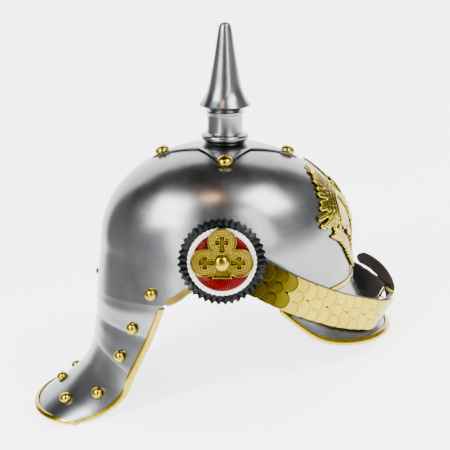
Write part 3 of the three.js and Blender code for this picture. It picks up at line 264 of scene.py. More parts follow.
def add_object(name, mesh, material, sharp):
    """Puts a mesh in the scene, smooth but for the edges sharper than an angle in degrees."""
    mesh.shade_smooth()
    mesh.set_sharp_from_angle(angle=math.radians(sharp))
    obj = bpy.data.objects.new(name, mesh)
    bpy.context.collection.objects.link(obj)
    mesh.materials.append(material)
    return obj


def make_mesh(name, points, faces, material, world=True, sharp=50):
    mesh = bpy.data.meshes.new(name)
    places = to_world(points) if world else np.asarray(points, float)
    mesh.from_pydata([tuple(p) for p in places], [], [tuple(int(k) for k in f) for f in faces])
    mesh.validate()
    bm_fix(mesh)
    return add_object(name, mesh, material, sharp)


def sheet_faces(columns, rows, wrapped=False):
    """Faces of a closed sheet from two grids of (rows + 1) x columns points, the outer one first."""
    across = columns if wrapped else columns + 1
    size = (rows + 1) * across
    idx = lambda side, i, j: side * size + j * across + (i % across)
    faces = []
    for j in range(rows):
        for i in range(columns):
            faces.append((idx(0, i, j), idx(0, i + 1, j), idx(0, i + 1, j + 1), idx(0, i, j + 1)))
            faces.append((idx(1, i, j), idx(1, i, j + 1), idx(1, i + 1, j + 1), idx(1, i + 1, j)))
    for i in range(columns):
        faces.append((idx(0, i, 0), idx(0, i + 1, 0), idx(1, i + 1, 0), idx(1, i, 0)))
        faces.append((idx(0, i, rows), idx(0, i + 1, rows), idx(1, i + 1, rows), idx(1, i, rows)))
    if not wrapped:
        for j in range(rows):
            faces.append((idx(0, 0, j), idx(0, 0, j + 1), idx(1, 0, j + 1), idx(1, 0, j)))
            last = columns
            faces.append((idx(0, last, j), idx(0, last, j + 1), idx(1, last, j + 1), idx(1, last, j)))
    return faces


def sheet(name, outer, inner, material, wrapped=False, sharp=50):
    """A closed sheet between two grids of points, each rows x columns x 3, in level millimetres."""
    rows, columns = outer.shape[0] - 1, outer.shape[1] - (0 if wrapped else 1)
    points = np.concatenate([outer.reshape(-1, 3), inner.reshape(-1, 3)])
    return make_mesh(name, points, sheet_faces(columns, rows, wrapped), material, sharp=sharp)


def sweep(name, rings, material, closed_path=False):
    """A tube through rings of points, each a closed loop, with flat caps."""
    rings = np.asarray(rings, float)
    count, around = rings.shape[:2]
    faces = []
    for i in range(count if closed_path else count - 1):
        for j in range(around):
            a, b = i * around + j, i * around + (j + 1) % around
            c, d = (i + 1) % count * around + (j + 1) % around, (i + 1) % count * around + j
            faces.append((a, b, c, d))
    if not closed_path:
        faces.append(tuple(range(around)))
        faces.append(tuple((count - 1) * around + j for j in range(around)))
    return make_mesh(name, rings.reshape(-1, 3), faces, material)


def lathe(name, profile, material, sides=96, place=None):
    """A turned piece about +Z from [radius, height] corners that start and end on the axis."""
    turn = circle_angles(sides)[:, None]
    radius, height = np.asarray(profile, float).T
    points = np.stack([radius * np.cos(turn), radius * np.sin(turn), height + 0 * turn], -1).reshape(-1, 3)
    if place is not None:
        origin, basis = place
        points = origin + points @ basis
    count = len(profile)
    faces = []
    for i in range(sides):
        a, b = i * count, (i + 1) % sides * count
        faces += [(a + j, b + j, b + j + 1, a + j + 1) for j in range(count - 1)]
    return make_mesh(name, points, faces, material, sharp=40)


def placement(point, way):
    """Origin and rows of the side, up and way axes of a piece that faces a way, with its +Y kept upward."""
    way = unit(np.asarray(way, float))
    side = np.cross([0, 0, 1.0], way)
    side = np.array([1.0, 0, 0]) if np.linalg.norm(side) < 1e-6 else unit(side)
    return np.asarray(point, float), np.stack([side, np.cross(way, side), way])


def finish(obj, slot, *nodes):
    """Rides the piece on the body and hides the nodes that it stands for. Its slot is not used."""
    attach(obj, "root")
    if nodes:
        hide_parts(*nodes)
    return obj


# ---------------------------------------------------------------- materials
def fill_ramp(node, stops):
    """Gives a colour ramp its stops, each a place and a colour."""
    elements = node.color_ramp.elements
    while len(elements) < len(stops):
        elements.new(0.5)
    for element, (place, colour) in zip(elements, stops):
        element.position, element.color = place, (*colour, 1)
    return node.outputs["Color"]


class Nodes:
    """Builds a material's nodes with few words."""

    def __init__(self, name):
        self.material = bpy.data.materials.new(name)
        self.material.use_nodes = True
        self.tree = self.material.node_tree
        self.shader = self.tree.nodes["Principled BSDF"]
        self.coordinates = self.tree.nodes.new("ShaderNodeTexCoord").outputs["Object"]

    def node(self, kind, **inputs):
        made = self.tree.nodes.new(kind)
        for key, value in inputs.items():
            self.put(made.inputs[key], value)
        return made

    def put(self, socket, value):
        if isinstance(value, bpy.types.NodeSocket):
            self.tree.links.new(value, socket)
        else:
            socket.default_value = value

    def math(self, operation, *values):
        made = self.tree.nodes.new("ShaderNodeMath")
        made.operation = operation
        for socket, value in zip(made.inputs, values):
            self.put(socket, value)
        return made.outputs[0]

    def noise(self, scale, detail=4.0, rough=0.55, stretch=(1, 1, 1)):
        mapping = self.node("ShaderNodeMapping", Vector=self.coordinates, Scale=stretch)
        return self.node("ShaderNodeTexNoise", Vector=mapping.outputs["Vector"], Scale=scale, Detail=detail,
                         Roughness=rough).outputs["Fac"]

    def ramp(self, value, stops):
        return fill_ramp(self.node("ShaderNodeValToRGB", Fac=value), stops)

    def grey(self, value, low, high, start=0.3, end=0.7):
        return self.ramp(value, [(start, (low,) * 3), (end, (high,) * 3)])

    def multiply(self, a, b):
        made = self.tree.nodes.new("ShaderNodeMix")
        made.data_type, made.blend_type = "RGBA", "MULTIPLY"
        self.put(made.inputs[0], 1.0)
        self.put(made.inputs[6], a)
        self.put(made.inputs[7], b)
        return made.outputs[2]

    def bump(self, height, distance, strength, below=None):
        made = self.node("ShaderNodeBump", Height=height, Distance=distance, Strength=strength)
        if below is not None:
            self.put(made.inputs["Normal"], below)
        return made.outputs["Normal"]

    def attribute(self, name):
        made = self.tree.nodes.new("ShaderNodeAttribute")
        made.attribute_name = name
        return made.outputs["Color"]

    def finish(self, **inputs):
        for key, value in inputs.items():
            self.put(self.shader.inputs[key.replace("_", " ")], value)
        return self.material


def metal(name, light, dark, smooth, rough, dents, painted_shade_layer=None):
    """Polished metal with soft dents, fine scratches and a cloudy tarnish."""
    n = Nodes(name)
    clouds = n.noise(38, 6, 0.6)
    colour = n.ramp(clouds, [(0.34, dark), (0.62, light)])
    specks = n.noise(900, 3, 0.7)
    colour = n.multiply(colour, n.grey(specks, 0.9, 1.0, 0.28, 0.4))
    # Painted shade: the named vertex attribute darkens the colour in the hollows.
    if painted_shade_layer:
        colour = n.multiply(colour, n.attribute(painted_shade_layer))
    scratches = n.noise(260, 5, 0.6, (1, 0.06, 1))
    polish = n.grey(n.noise(70, 4, 0.55, (1, 1, 0.3)), smooth, rough, 0.25, 0.75)
    normal = n.bump(n.noise(14, 2, 0.4), 0.001, dents * 10)
    normal = n.bump(scratches, 0.0001, 0.12, normal)
    normal = n.bump(specks, 0.00005, 0.15, normal)
    return n.finish(Base_Color=colour, Metallic=1.0, Roughness=polish, Normal=normal)


def lacquer(name, light, dark, rough, gloss):
    """Glossy paint with painted shade in its folds, a few dull specks and a slightly uneven skin."""
    n = Nodes(name)
    colour = n.ramp(n.noise(160, 6, 0.6), [(0.35, dark), (0.62, light)])
    # Painted shade from the 'shade' attribute.
    colour = n.multiply(colour, n.attribute("shade"))
    polish = n.grey(n.noise(420, 5, 0.6), rough, rough + 0.22)
    normal = n.bump(n.noise(230, 3, 0.5), 0.0002, 0.25)
    return n.finish(Base_Color=colour, Roughness=polish, Normal=normal, Specular_IOR_Level=gloss,
                    Coat_Weight=gloss * 0.5, Coat_Roughness=0.06)


def black_leather():
    n = Nodes("black_leather")
    cells = n.node("ShaderNodeTexVoronoi", Vector=n.coordinates, Scale=900.0).outputs["Distance"]
    creases = n.noise(130, 6, 0.65, (1, 0.5, 1))
    colour = n.ramp(creases, [
        (0.3, (0.006, 0.0055, 0.005)), (0.62, (0.018, 0.016, 0.015)), (0.8, (0.05, 0.042, 0.036))])
    normal = n.bump(creases, 0.0004, 0.4)
    normal = n.bump(cells, 0.0002, 0.5, normal)
    return n.finish(Base_Color=colour, Roughness=n.grey(creases, 0.3, 0.58), Normal=normal)


def pale_floor():
    n = Nodes("pale_floor")
    colour = n.grey(n.noise(1.5, 4, 0.5), 0.86, 0.9)
    # Painted light: the floor glows beside and behind the helmet though it is no lamp, and its colour and
    # glow fall off towards the photographer as painted shade.
    place = n.node("ShaderNodeSeparateXYZ", Vector=n.coordinates).outputs
    aside = n.math("MAXIMUM", n.math("SUBTRACT", n.math("ABSOLUTE", place["Y"]), 0.3), 0.0)
    ahead = n.math("ADD", n.math("MULTIPLY_ADD", aside, -1.2, place["X"]), 1.0)
    painted_glow = n.grey(ahead, 0.03, 0.9, 0.42, 0.66)
    colour = n.multiply(colour, n.grey(ahead, 0.38, 1))
    return n.finish(Base_Color=colour, Roughness=0.9, Emission_Color=painted_glow, Emission_Strength=3.4,
                    Normal=n.bump(n.noise(300, 3), 0.0001, 0.1))


STEEL_LOOK = metal("polished_steel", (0.225, 0.228, 0.233), (0.195, 0.198, 0.204), 0.21, 0.28, 0.008)
BRASS_LOOK = metal("bright_brass", (0.45, 0.335, 0.018), (0.35, 0.25, 0.01), 0.15, 0.24, 0.02)
# The pressed brasses below carry painted shade in the hollows of their relief, from the 'shade' attribute.
PRESSED_BRASS = metal("pressed_brass", (0.5, 0.38, 0.022), (0.4, 0.295, 0.012), 0.13, 0.23, 0.01, "shade")
TREFOIL_LOOK = metal("antique_brass", (0.3, 0.21, 0.018), (0.19, 0.13, 0.01), 0.2, 0.34, 0.01, "shade")
DARK_BRASS = metal("dark_brass", (0.22, 0.16, 0.035), (0.12, 0.085, 0.02), 0.24, 0.42, 0.02)
LEATHER_LOOK = black_leather()
BLACK_LOOK = lacquer("black_lacquer", (0.003, 0.0035, 0.0045), (0.001, 0.0012, 0.0016), 0.1, 0.09)
WHITE_LOOK = lacquer("white_lacquer", (0.86, 0.84, 0.8), (0.72, 0.69, 0.63), 0.2, 0.3)
RED_LOOK = lacquer("red_lacquer", (0.2, 0.0004, 0.001), (0.1, 0.0002, 0.0005), 0.12, 0.07)


def shade(mesh, values):
    """Stores how dark each vertex is, as painted shade that the materials multiply into their colour."""
    layer = mesh.attributes.new("shade", "FLOAT", "POINT")
    layer.data.foreach_set("value", np.asarray(values, float))


# ---------------------------------------------------------------- steel shell
def skull():
    columns, rows = 192, 64
    angles = circle_angles(columns)
    foot = latitude_of(edge_height(np.degrees(angles)))
    share = 1 - (1 - np.linspace(0, 1, rows + 1)) ** 1.15
    latitude = foot + (math.pi / 2 - foot) * share[:, None]
    outer = skull_at(angles[None, :], latitude)
    normals = skull_normal(outer)
    normals[-1] = (0, 0, 1)
    inner = outer - normals * STEEL
    # The last row of points meets in the pole and needs no faces along itself.
    size = (rows + 1) * columns
    faces = [f for f in sheet_faces(columns, rows, True)
             if not all((k % size) // columns == rows for k in f)]
    points = np.concatenate([outer.reshape(-1, 3), inner.reshape(-1, 3)])
    return finish(make_mesh("skull_shell", points, faces, STEEL_LOOK), "steel", "skull")


LAP = CAD_STEEL + 2 * GAP
PLATE_STEEL, PLATE_LAP = 0.65, 0.85
# Name, first and last station, and the stations over which a plate comes out from under its neighbour.
PLATES = [("neck_lame_upper", -0.35, 1, 0, 0.4), ("neck_lame_lower", 0.42, 2, 1, 1.4),
          ("neck_guard", 1.42, 7, 2, 3)]


def neck_plate(name, first, last, seam, flush):
    columns, rows = 72, max(14, int((last - first) * 9))
    share = np.linspace(-1, 1, columns + 1)[None, :]
    station = np.linspace(first, last, rows + 1)[:, None]
    points, normals = neck_at(share, station), neck_normal(share + station * 0, station + share * 0)
    sunk = (PLATE_LAP * (1 - smoothstep(station, seam, flush)))[..., None]
    outer = points - normals * sunk
    edge = smoothstep(np.abs(station - last) + 0 * share, 0, 0.035)[..., None]
    outer = outer - normals * 0.25 * (1 - edge)
    obj = sheet(name + "_plate", outer, points - normals * (sunk + PLATE_STEEL), STEEL_LOOK)
    return finish(obj, "steel", name)


def visor():
    columns, rows = 120, 26
    share = np.linspace(-VISOR_END, VISOR_END, columns + 1)[None, :]
    down = np.linspace(0, 1, rows + 1)[:, None]
    points = visor_at(share, down)
    normals = visor_normal(share + down * 0, down + share * 0)
    return finish(sheet("visor_plate", points, points - normals * STEEL, STEEL_LOOK), "steel", "visor")


# ---------------------------------------------------------------- folded brass edges
def folded_rings(points, outs, intos, lap, over, under, most=None):
    """Rings of a strip folded round a sheet's edge, with a round bead on the edge itself."""
    points, outs, intos = (np.asarray(a, float) for a in (points, outs, intos))
    under = np.broadcast_to(np.asarray(under, float), (len(points),))
    most = np.full(len(points), lap) if most is None else np.asarray(most, float)
    top = over + BRASS
    rings = []
    for point, out, into, room, limit in zip(points, outs, intos, under, most):
        reach = min(lap, limit)
        low = -room - BRASS
        middle, half = (top + low) / 2, (top - low) / 2
        ring = [(reach, over), (reach, top - 0.15), (reach - 0.15, top), (reach * 0.5, top)]
        for k in range(13):
            angle = math.pi * k / 12
            bulge = -RIM_BEAD * math.sin(angle) ** 1.6 if 0 < k < 12 else 0.0
            ring.append((bulge, middle + half * math.cos(angle)))
        ring += [(reach * 0.5, low), (reach - 0.15, low), (reach, low + 0.15), (reach, -room)]
        ring += [(0.1, -room), (-0.45, middle), (0.1, over)]
        ring = [(min(along, limit), height) for along, height in ring]
        rings.append([point + into * along + out * height for along, height in ring])
    return rings


def neck_rim():
    first, last, down_count, foot_count = 0.12, 7.0, 90, 119
    down = np.linspace(first, last, down_count)
    across = np.linspace(-1, 1, foot_count + 2)[1:-1]
    share = np.concatenate([-np.ones(down_count), across, np.ones(down_count)])
    station = np.concatenate([down, np.full(foot_count, last), down[::-1]])
    points = neck_at(share, station)
    inner_share = np.where(np.abs(share) == 1, share * 0.875, share)
    inner_station = np.where(station == last, last - 1, station)
    into = unit(neck_at(inner_share, inner_station) - points)
    # The strip and its way in turn gradually round the two lower corners.
    for _ in range(8):
        into[1:-1] = unit(into[:-2] + 2 * into[1:-1] + into[2:])
        points[1:-1] = (points[:-2] + 2 * points[1:-1] + points[2:]) / 4
    normal = neck_normal(share, station)
    out = unit(normal - into * np.sum(normal * into, -1, keepdims=True))
    lapped = 1 - smoothstep(station, 2, 3)
    rings = folded_rings(points, out, into, NECK_RIM_WIDTH - RIM_BEAD, 3 * GAP, LAP * (1 + lapped))
    return finish(sweep("neck_rim_bead", rings, BRASS_LOOK), "brass", "neck_guard_rim")


def visor_rim():
    share = np.linspace(-VISOR_END, VISOR_END, 161)
    points = visor_at(share, 1)
    into = unit(visor_at(share, 0.8) - points)
    most = 0.55 * np.linalg.norm(visor_at(share, 0) - points, axis=-1)
    normal = visor_normal(share, np.ones_like(share))
    rings = folded_rings(points, normal, into, VISOR_RIM_WIDTH - RIM_BEAD, 2 * GAP, LAP, most)
    return finish(sweep("visor_rim_bead", rings, BRASS_LOOK), "brass", "visor_rim")


def ear_trim(side, hand):
    degrees = np.linspace(VISOR_CORNER + 4.65, NECK_CORNER - 1.6, 70)
    angle = side * np.radians(degrees)
    points = skull_at_height(angle, edge_height(degrees))
    out = skull_normal(points)
    tangent = np.gradient(points, axis=0)
    into = unit(np.cross(out, tangent))
    into = into * np.sign(into[:, 2:3].mean())
    rings = folded_rings(points, out, into, EAR_TRIM_WIDTH, GAP, CAD_STEEL + GAP)
    return finish(sweep(f"ear_trim_{hand}_bead", rings, DARK_BRASS), "dark_brass", f"ear_trim_{hand}")


def seam_strip():
    share = np.linspace(-VISOR_END, VISOR_END, 121)
    angle = np.radians(VISOR_CORNER) * share
    half = SEAM_WIDTH / 2
    top = skull_at_height(angle, BROW_HEIGHT + half)
    brow = skull_at_height(angle, BROW_HEIGHT)
    low_share = half / (2 * VISOR_FALL * VISOR_DROP)
    low = visor_at(share, low_share)
    root = visor_at(share, 0)
    n_top, n_low = skull_normal(top), visor_normal(share, np.full_like(share, low_share))
    n_mid = unit(n_low + skull_normal(brow))
    outer, inner = [], []
    for t in np.linspace(0, 1, 9):
        a = np.clip(t * 2, 0, 1)
        b = np.clip(t * 2 - 1, 0, 1)
        base = top + (root - top) * a + (low - root) * b
        normal = unit(n_top * max(0, 1 - t * 2) + n_mid * (1 - abs(2 * t - 1)) + n_low * max(0, 2 * t - 1))
        swell = 0.35 + 0.65 * math.sqrt(max(0, 1 - (2 * t - 1) ** 2))
        outer.append(base + normal * (2 * GAP + BRASS * swell))
        inner.append(base + normal * (2 * GAP - 0.2))
    band = sheet("seam_strip_band", np.array(outer), np.array(inner), BRASS_LOOK)
    return finish(band, "brass", "visor_seam_strip")


# ---------------------------------------------------------------- studs and turned pieces
def stud_profile(radius, height):
    seat = 2 * GAP
    profile = [(0, seat - 0.3), (1.6, seat - 0.3), (radius - 0.3, seat), (radius, seat + 0.25),
               (radius, seat + 0.8)]
    for k in range(1, 15):
        angle = math.pi / 2 * k / 14
        profile.append((radius * math.cos(angle) if k < 14 else 0, seat + 1 + (height - 1) * math.sin(angle)))
    return profile


def stud(node, place, way, size, look=BRASS_LOOK, slot="brass"):
    return finish(lathe(node + "_head", stud_profile(*size), look, 48, placement(place, way)), slot, node)


def studs():
    for side, hand in ((-1, "right"), (1, "left")):
        place = skull_at_height(side * math.radians(122.5), BROW_HEIGHT * 1.4)
        stud(f"neck_stud_skull_{hand}", place, skull_normal(place), STUD_SIZE)
        spots = ("upper", 0.81, 0.84), ("lower", 0.8, 1.7), ("side", 0.75, 4), ("tail", 0.51, 5.55)
        for name, share, station in spots:
            spot = side * share, station
            stud(f"neck_stud_{name}_{hand}", neck_at(*spot), neck_normal(*spot), STUD_SIZE)
    stud("neck_stud_centre", neck_at(0, 5.4), neck_normal(0, 5.4), STUD_SIZE)
    place = skull_at_height(math.pi, PLATE_TUCK - REAR_DIP + 3)
    stud("rear_rivet", place, skull_normal(place), RIVET_SIZE, STEEL_LOOK, "steel")
    for k, name in enumerate(("front", "left", "rear", "right")):
        reach = ARM_STUD_SHARE * (ARM_SHORT if k % 2 else ARM_LONG)
        x, y = reach * math.sin(k * math.pi / 2), -reach * math.cos(k * math.pi / 2)
        foot = np.array([x, y, dome_height(x, y)])
        way = skull_normal(foot)
        stud(f"base_stud_{name}", foot + way * (PLATE_SEAT + PLATE_THICKNESS), way, BASE_STUD_SIZE)


def spike_base():
    """A four-pointed star bent over the crown, with its inner corners lifted off the steel."""
    columns, rows, hole = 192, 26, 4.3
    angle = circle_angles(columns)[None, :]
    c, s = np.abs(np.cos(angle)), np.abs(np.sin(angle))
    near = np.arctan2(s, c) < math.atan2(CORNER_ASIDE, CORNER_AHEAD)
    tip_x, tip_y = np.where(near, ARM_LONG, 0), np.where(near, 0, ARM_SHORT)
    dx, dy = CORNER_AHEAD - tip_x, CORNER_ASIDE - tip_y
    outline = (tip_x * dy - tip_y * dx) / (c * dy - s * dx)
    blunt = np.minimum(outline, np.where(near, ARM_LONG - 0.6, ARM_SHORT - 0.5))
    share = np.linspace(0, 1, rows + 1)[:, None]
    reach = hole + (blunt - hole) * share
    x, y = reach * np.sin(angle), -reach * np.cos(angle)
    lift = 0.5 * np.abs(np.sin(2 * angle)) ** 1.5 * smoothstep(reach, 17.2, 30)
    foot = np.stack([x, y, dome_height(x, y)], -1)
    normal = skull_normal(foot)
    rounding = 0.3 * (1 - np.sqrt(1 - np.clip((share - 0.97) / 0.03, 0, 1) ** 2))
    outer = foot + normal * (PLATE_SEAT + lift + PLATE_THICKNESS - rounding)[..., None]
    inner = foot + normal * (0.2 + lift)[..., None]
    return finish(sheet("spike_base_star", outer, inner, STEEL_LOOK, wrapped=True), "steel", "spike_base")


def spike_neck():
    low, top = NECK_FOOT, NECK_FOOT + NECK_HEIGHT
    profile = [(0, low - 6), (3.8, low - 6), (3.8, low), (19.3, low), (19.6, low + 0.5), (18.6, low + 1.1),
               (17.2, low + 1.6)]
    for k in range(13):
        angle = math.pi * (k / 12 - 0.5) * 0.95
        profile.append((19.4 + 2.9 * math.cos(angle), low + 5 + 2.9 * math.sin(angle)))
    profile += [(17.4, low + 8.4), (17.0, low + 8.9)]
    for k in range(9):
        t = k / 8
        profile.append((16.9 - 0.5 * math.sin(math.pi * t), low + 9.2 + (NECK_HEIGHT - 11.2) * t))
    profile += [(17.2, top - 1.6), (17.2, top), (13.4, top), (13.4, top + 5), (0, top + 5)]
    return finish(lathe("spike_neck_turned", profile, STEEL_LOOK), "steel", "spike_neck")


SPIKE_SHAPE = np.array([
    (0.072, 1), (0.096, 0.94), (0.158, 0.8), (0.22, 0.7), (0.281, 0.635), (0.406, 0.55), (0.651, 0.402),
    (0.894, 0.275), (0.96, 0.226)])


def spike():
    flare, tip = SPIKE_SHAPE[0, 0], 0.95
    up = np.linspace(flare, tip, 60)
    radii = between(SPIKE_SHAPE[:, 0], SPIKE_SHAPE[:, 1], up)
    shares = [(0.03, 0.755), (0.045, 0.82), (0.058, 0.93), (0.065, 0.985), *zip(up, radii)]
    profile = [(0, 8), (14.4, 8), (14.4, 0), (16.8, 0), (17.4, 1.0)]
    profile += [(SPIKE_RADIUS * r, SPIKE_HEIGHT * u) for u, r in shares]
    last, start = SPIKE_RADIUS * radii[-1], SPIKE_HEIGHT * tip
    for k in range(1, 13):
        angle = math.pi / 2 * k / 12
        radius = last * math.cos(angle) if k < 12 else 0
        profile.append((radius, start + (SPIKE_HEIGHT - start) * math.sin(angle)))
    profile = [(r, SPIKE_FOOT + z) for r, z in profile]
    return finish(lathe("spike_turned", profile, STEEL_LOOK), "steel", "spike")


# ---------------------------------------------------------------- pressed plates with relief
def segment(x, z, a, b):
    """Distance from points to a segment and the share along it."""
    (ax, az), (bx, bz) = a, b
    dx, dz = bx - ax, bz - az
    t = np.clip(((x - ax) * dx + (z - az) * dz) / max(dx * dx + dz * dz, 1e-9), 0, 1)
    return np.hypot(x - ax - t * dx, z - az - t * dz), t


def polygon_distance(x, z, corners):
    """Signed distance to a polygon, below zero inside it."""
    corners = np.asarray(corners, float)
    best = np.full(np.shape(x), 1e9)
    inside = np.zeros(np.shape(x), bool)
    for (ax, az), (bx, bz) in zip(corners, np.roll(corners, -1, 0)):
        best = np.minimum(best, segment(x, z, (ax, az), (bx, bz))[0])
        if az != bz:
            inside ^= ((az > z) != (bz > z)) & (x < (bx - ax) * (z - az) / (bz - az) + ax)
    return np.where(inside, -best, best)


def soften(grid, times):
    for _ in range(times):
        padded = np.pad(grid, 1, mode="edge")
        grid = (padded[:-2, 1:-1] + padded[2:, 1:-1] + padded[1:-1, :-2] + padded[1:-1, 2:] + grid) / 5
    return grid


def face_edges(faces):
    return {(a, b) for face in faces for a, b in zip(face, face[1:] + face[:1])}


def largest_patch(faces, count):
    """The faces of the largest joined patch, so that no loose crumb of the sheet is left over."""
    parent = list(range(count))

    def root(k):
        while parent[k] != k:
            parent[k] = parent[parent[k]]
            k = parent[k]
        return k

    for a, b in face_edges(faces):
        parent[root(a)] = root(b)
    sizes = {}
    for face in faces:
        key = root(face[0])
        sizes[key] = sizes.get(key, 0) + 1
    main = max(sizes, key=sizes.get)
    return [face for face in faces if root(face[0]) == main]


def relief_plate(name, x_range, z_range, cell, distance, relief, place, thickness, material):
    """A closed plate cut to a shape and raised by a relief. place turns (x, z, height) into level points."""
    x, z = np.meshgrid(*(np.arange(low, high + cell, cell) for low, high in (x_range, z_range)))
    # The grid's points next to the outline are moved onto it.
    for _ in range(2):
        d, e = distance(x, z), 0.02
        gx = (distance(x + e, z) - distance(x - e, z)) / (2 * e)
        gz = (distance(x, z + e) - distance(x, z - e)) / (2 * e)
        near = np.abs(d) < 0.62 * cell
        size = np.maximum(np.hypot(gx, gz), 0.3)
        x, z = np.where(near, x - d * gx / size**2, x), np.where(near, z - d * gz / size**2, z)
    inside = (distance(x, z) < 0.08 * cell).ravel()
    height = relief(x, z)
    fronts = place(x, z, height)
    backs = place(x, z, np.full_like(x, -thickness))
    # Painted shade: the relief is darker in its hollows than on its ridges.
    tone = np.clip(0.6 + 1.7 * (height - soften(height, 14)), 0.06, 1.0).ravel()
    index = np.arange(x.size).reshape(x.shape)
    quads = np.stack([index[:-1, :-1], index[:-1, 1:], index[1:, 1:], index[1:, :-1]], -1).reshape(-1, 4)
    kept = quads[inside[quads].sum(1) >= 3]
    faces = largest_patch([[int(q) for q in quad if inside[q]] for quad in kept], x.size)
    edges = face_edges(faces)
    walls = [[b, a, a + x.size, b + x.size] for a, b in edges if (b, a) not in edges]
    every = faces + [[k + x.size for k in reversed(face)] for face in faces] + walls
    used = np.unique([k for face in every for k in face])
    lookup = {int(k): n for n, k in enumerate(used)}
    points = np.concatenate([fronts.reshape(-1, 3), backs.reshape(-1, 3)])[used]
    mesh = bpy.data.meshes.new(name)
    mesh.from_pydata([tuple(p) for p in to_world(points)], [], [[lookup[k] for k in face] for face in every])
    # The backs get a darker painted shade.
    shade(mesh, np.concatenate([tone, tone * 0.7])[used])
    bm_fix(mesh)
    return add_object(name, mesh, material, 62)


EAGLE_FOOT = BROW_HEIGHT + SEAM_WIDTH / 2 + 0.5
EAGLE_SPAN = 66.0
EAGLE_HEIGHT = float(dome_height(0, ARM_STUD_SHARE * ARM_LONG)) - 8.5 - EAGLE_FOOT
EAGLE_OUTLINE = [
    (0, 1), (0.05, 0.96), (0.13, 0.945), (0.18, 0.89), (0.12, 0.835), (0.2, 0.79), (0.13, 0.73), (0.2, 0.7),
    (0.25, 0.84), (0.36, 1), (0.42, 0.93), (0.52, 0.955), (0.57, 0.88), (0.68, 0.89), (0.7, 0.81), (0.8, 0.8),
    (0.78, 0.71), (0.87, 0.66), (0.9, 0.68), (1, 0.61), (0.99, 0.5), (0.87, 0.47), (0.75, 0.45), (0.68, 0.41),
    (0.6, 0.35), (0.53, 0.3), (0.45, 0.24), (0.38, 0.18), (0.26, 0.1), (0.15, 0.05), (0.08, 0.015), (0, 0)]
EAGLE_GAP = [(0.16, 0.44), (0.44, 0.43), (0.36, 0.33), (0.2, 0.2), (0.18, 0.32)]


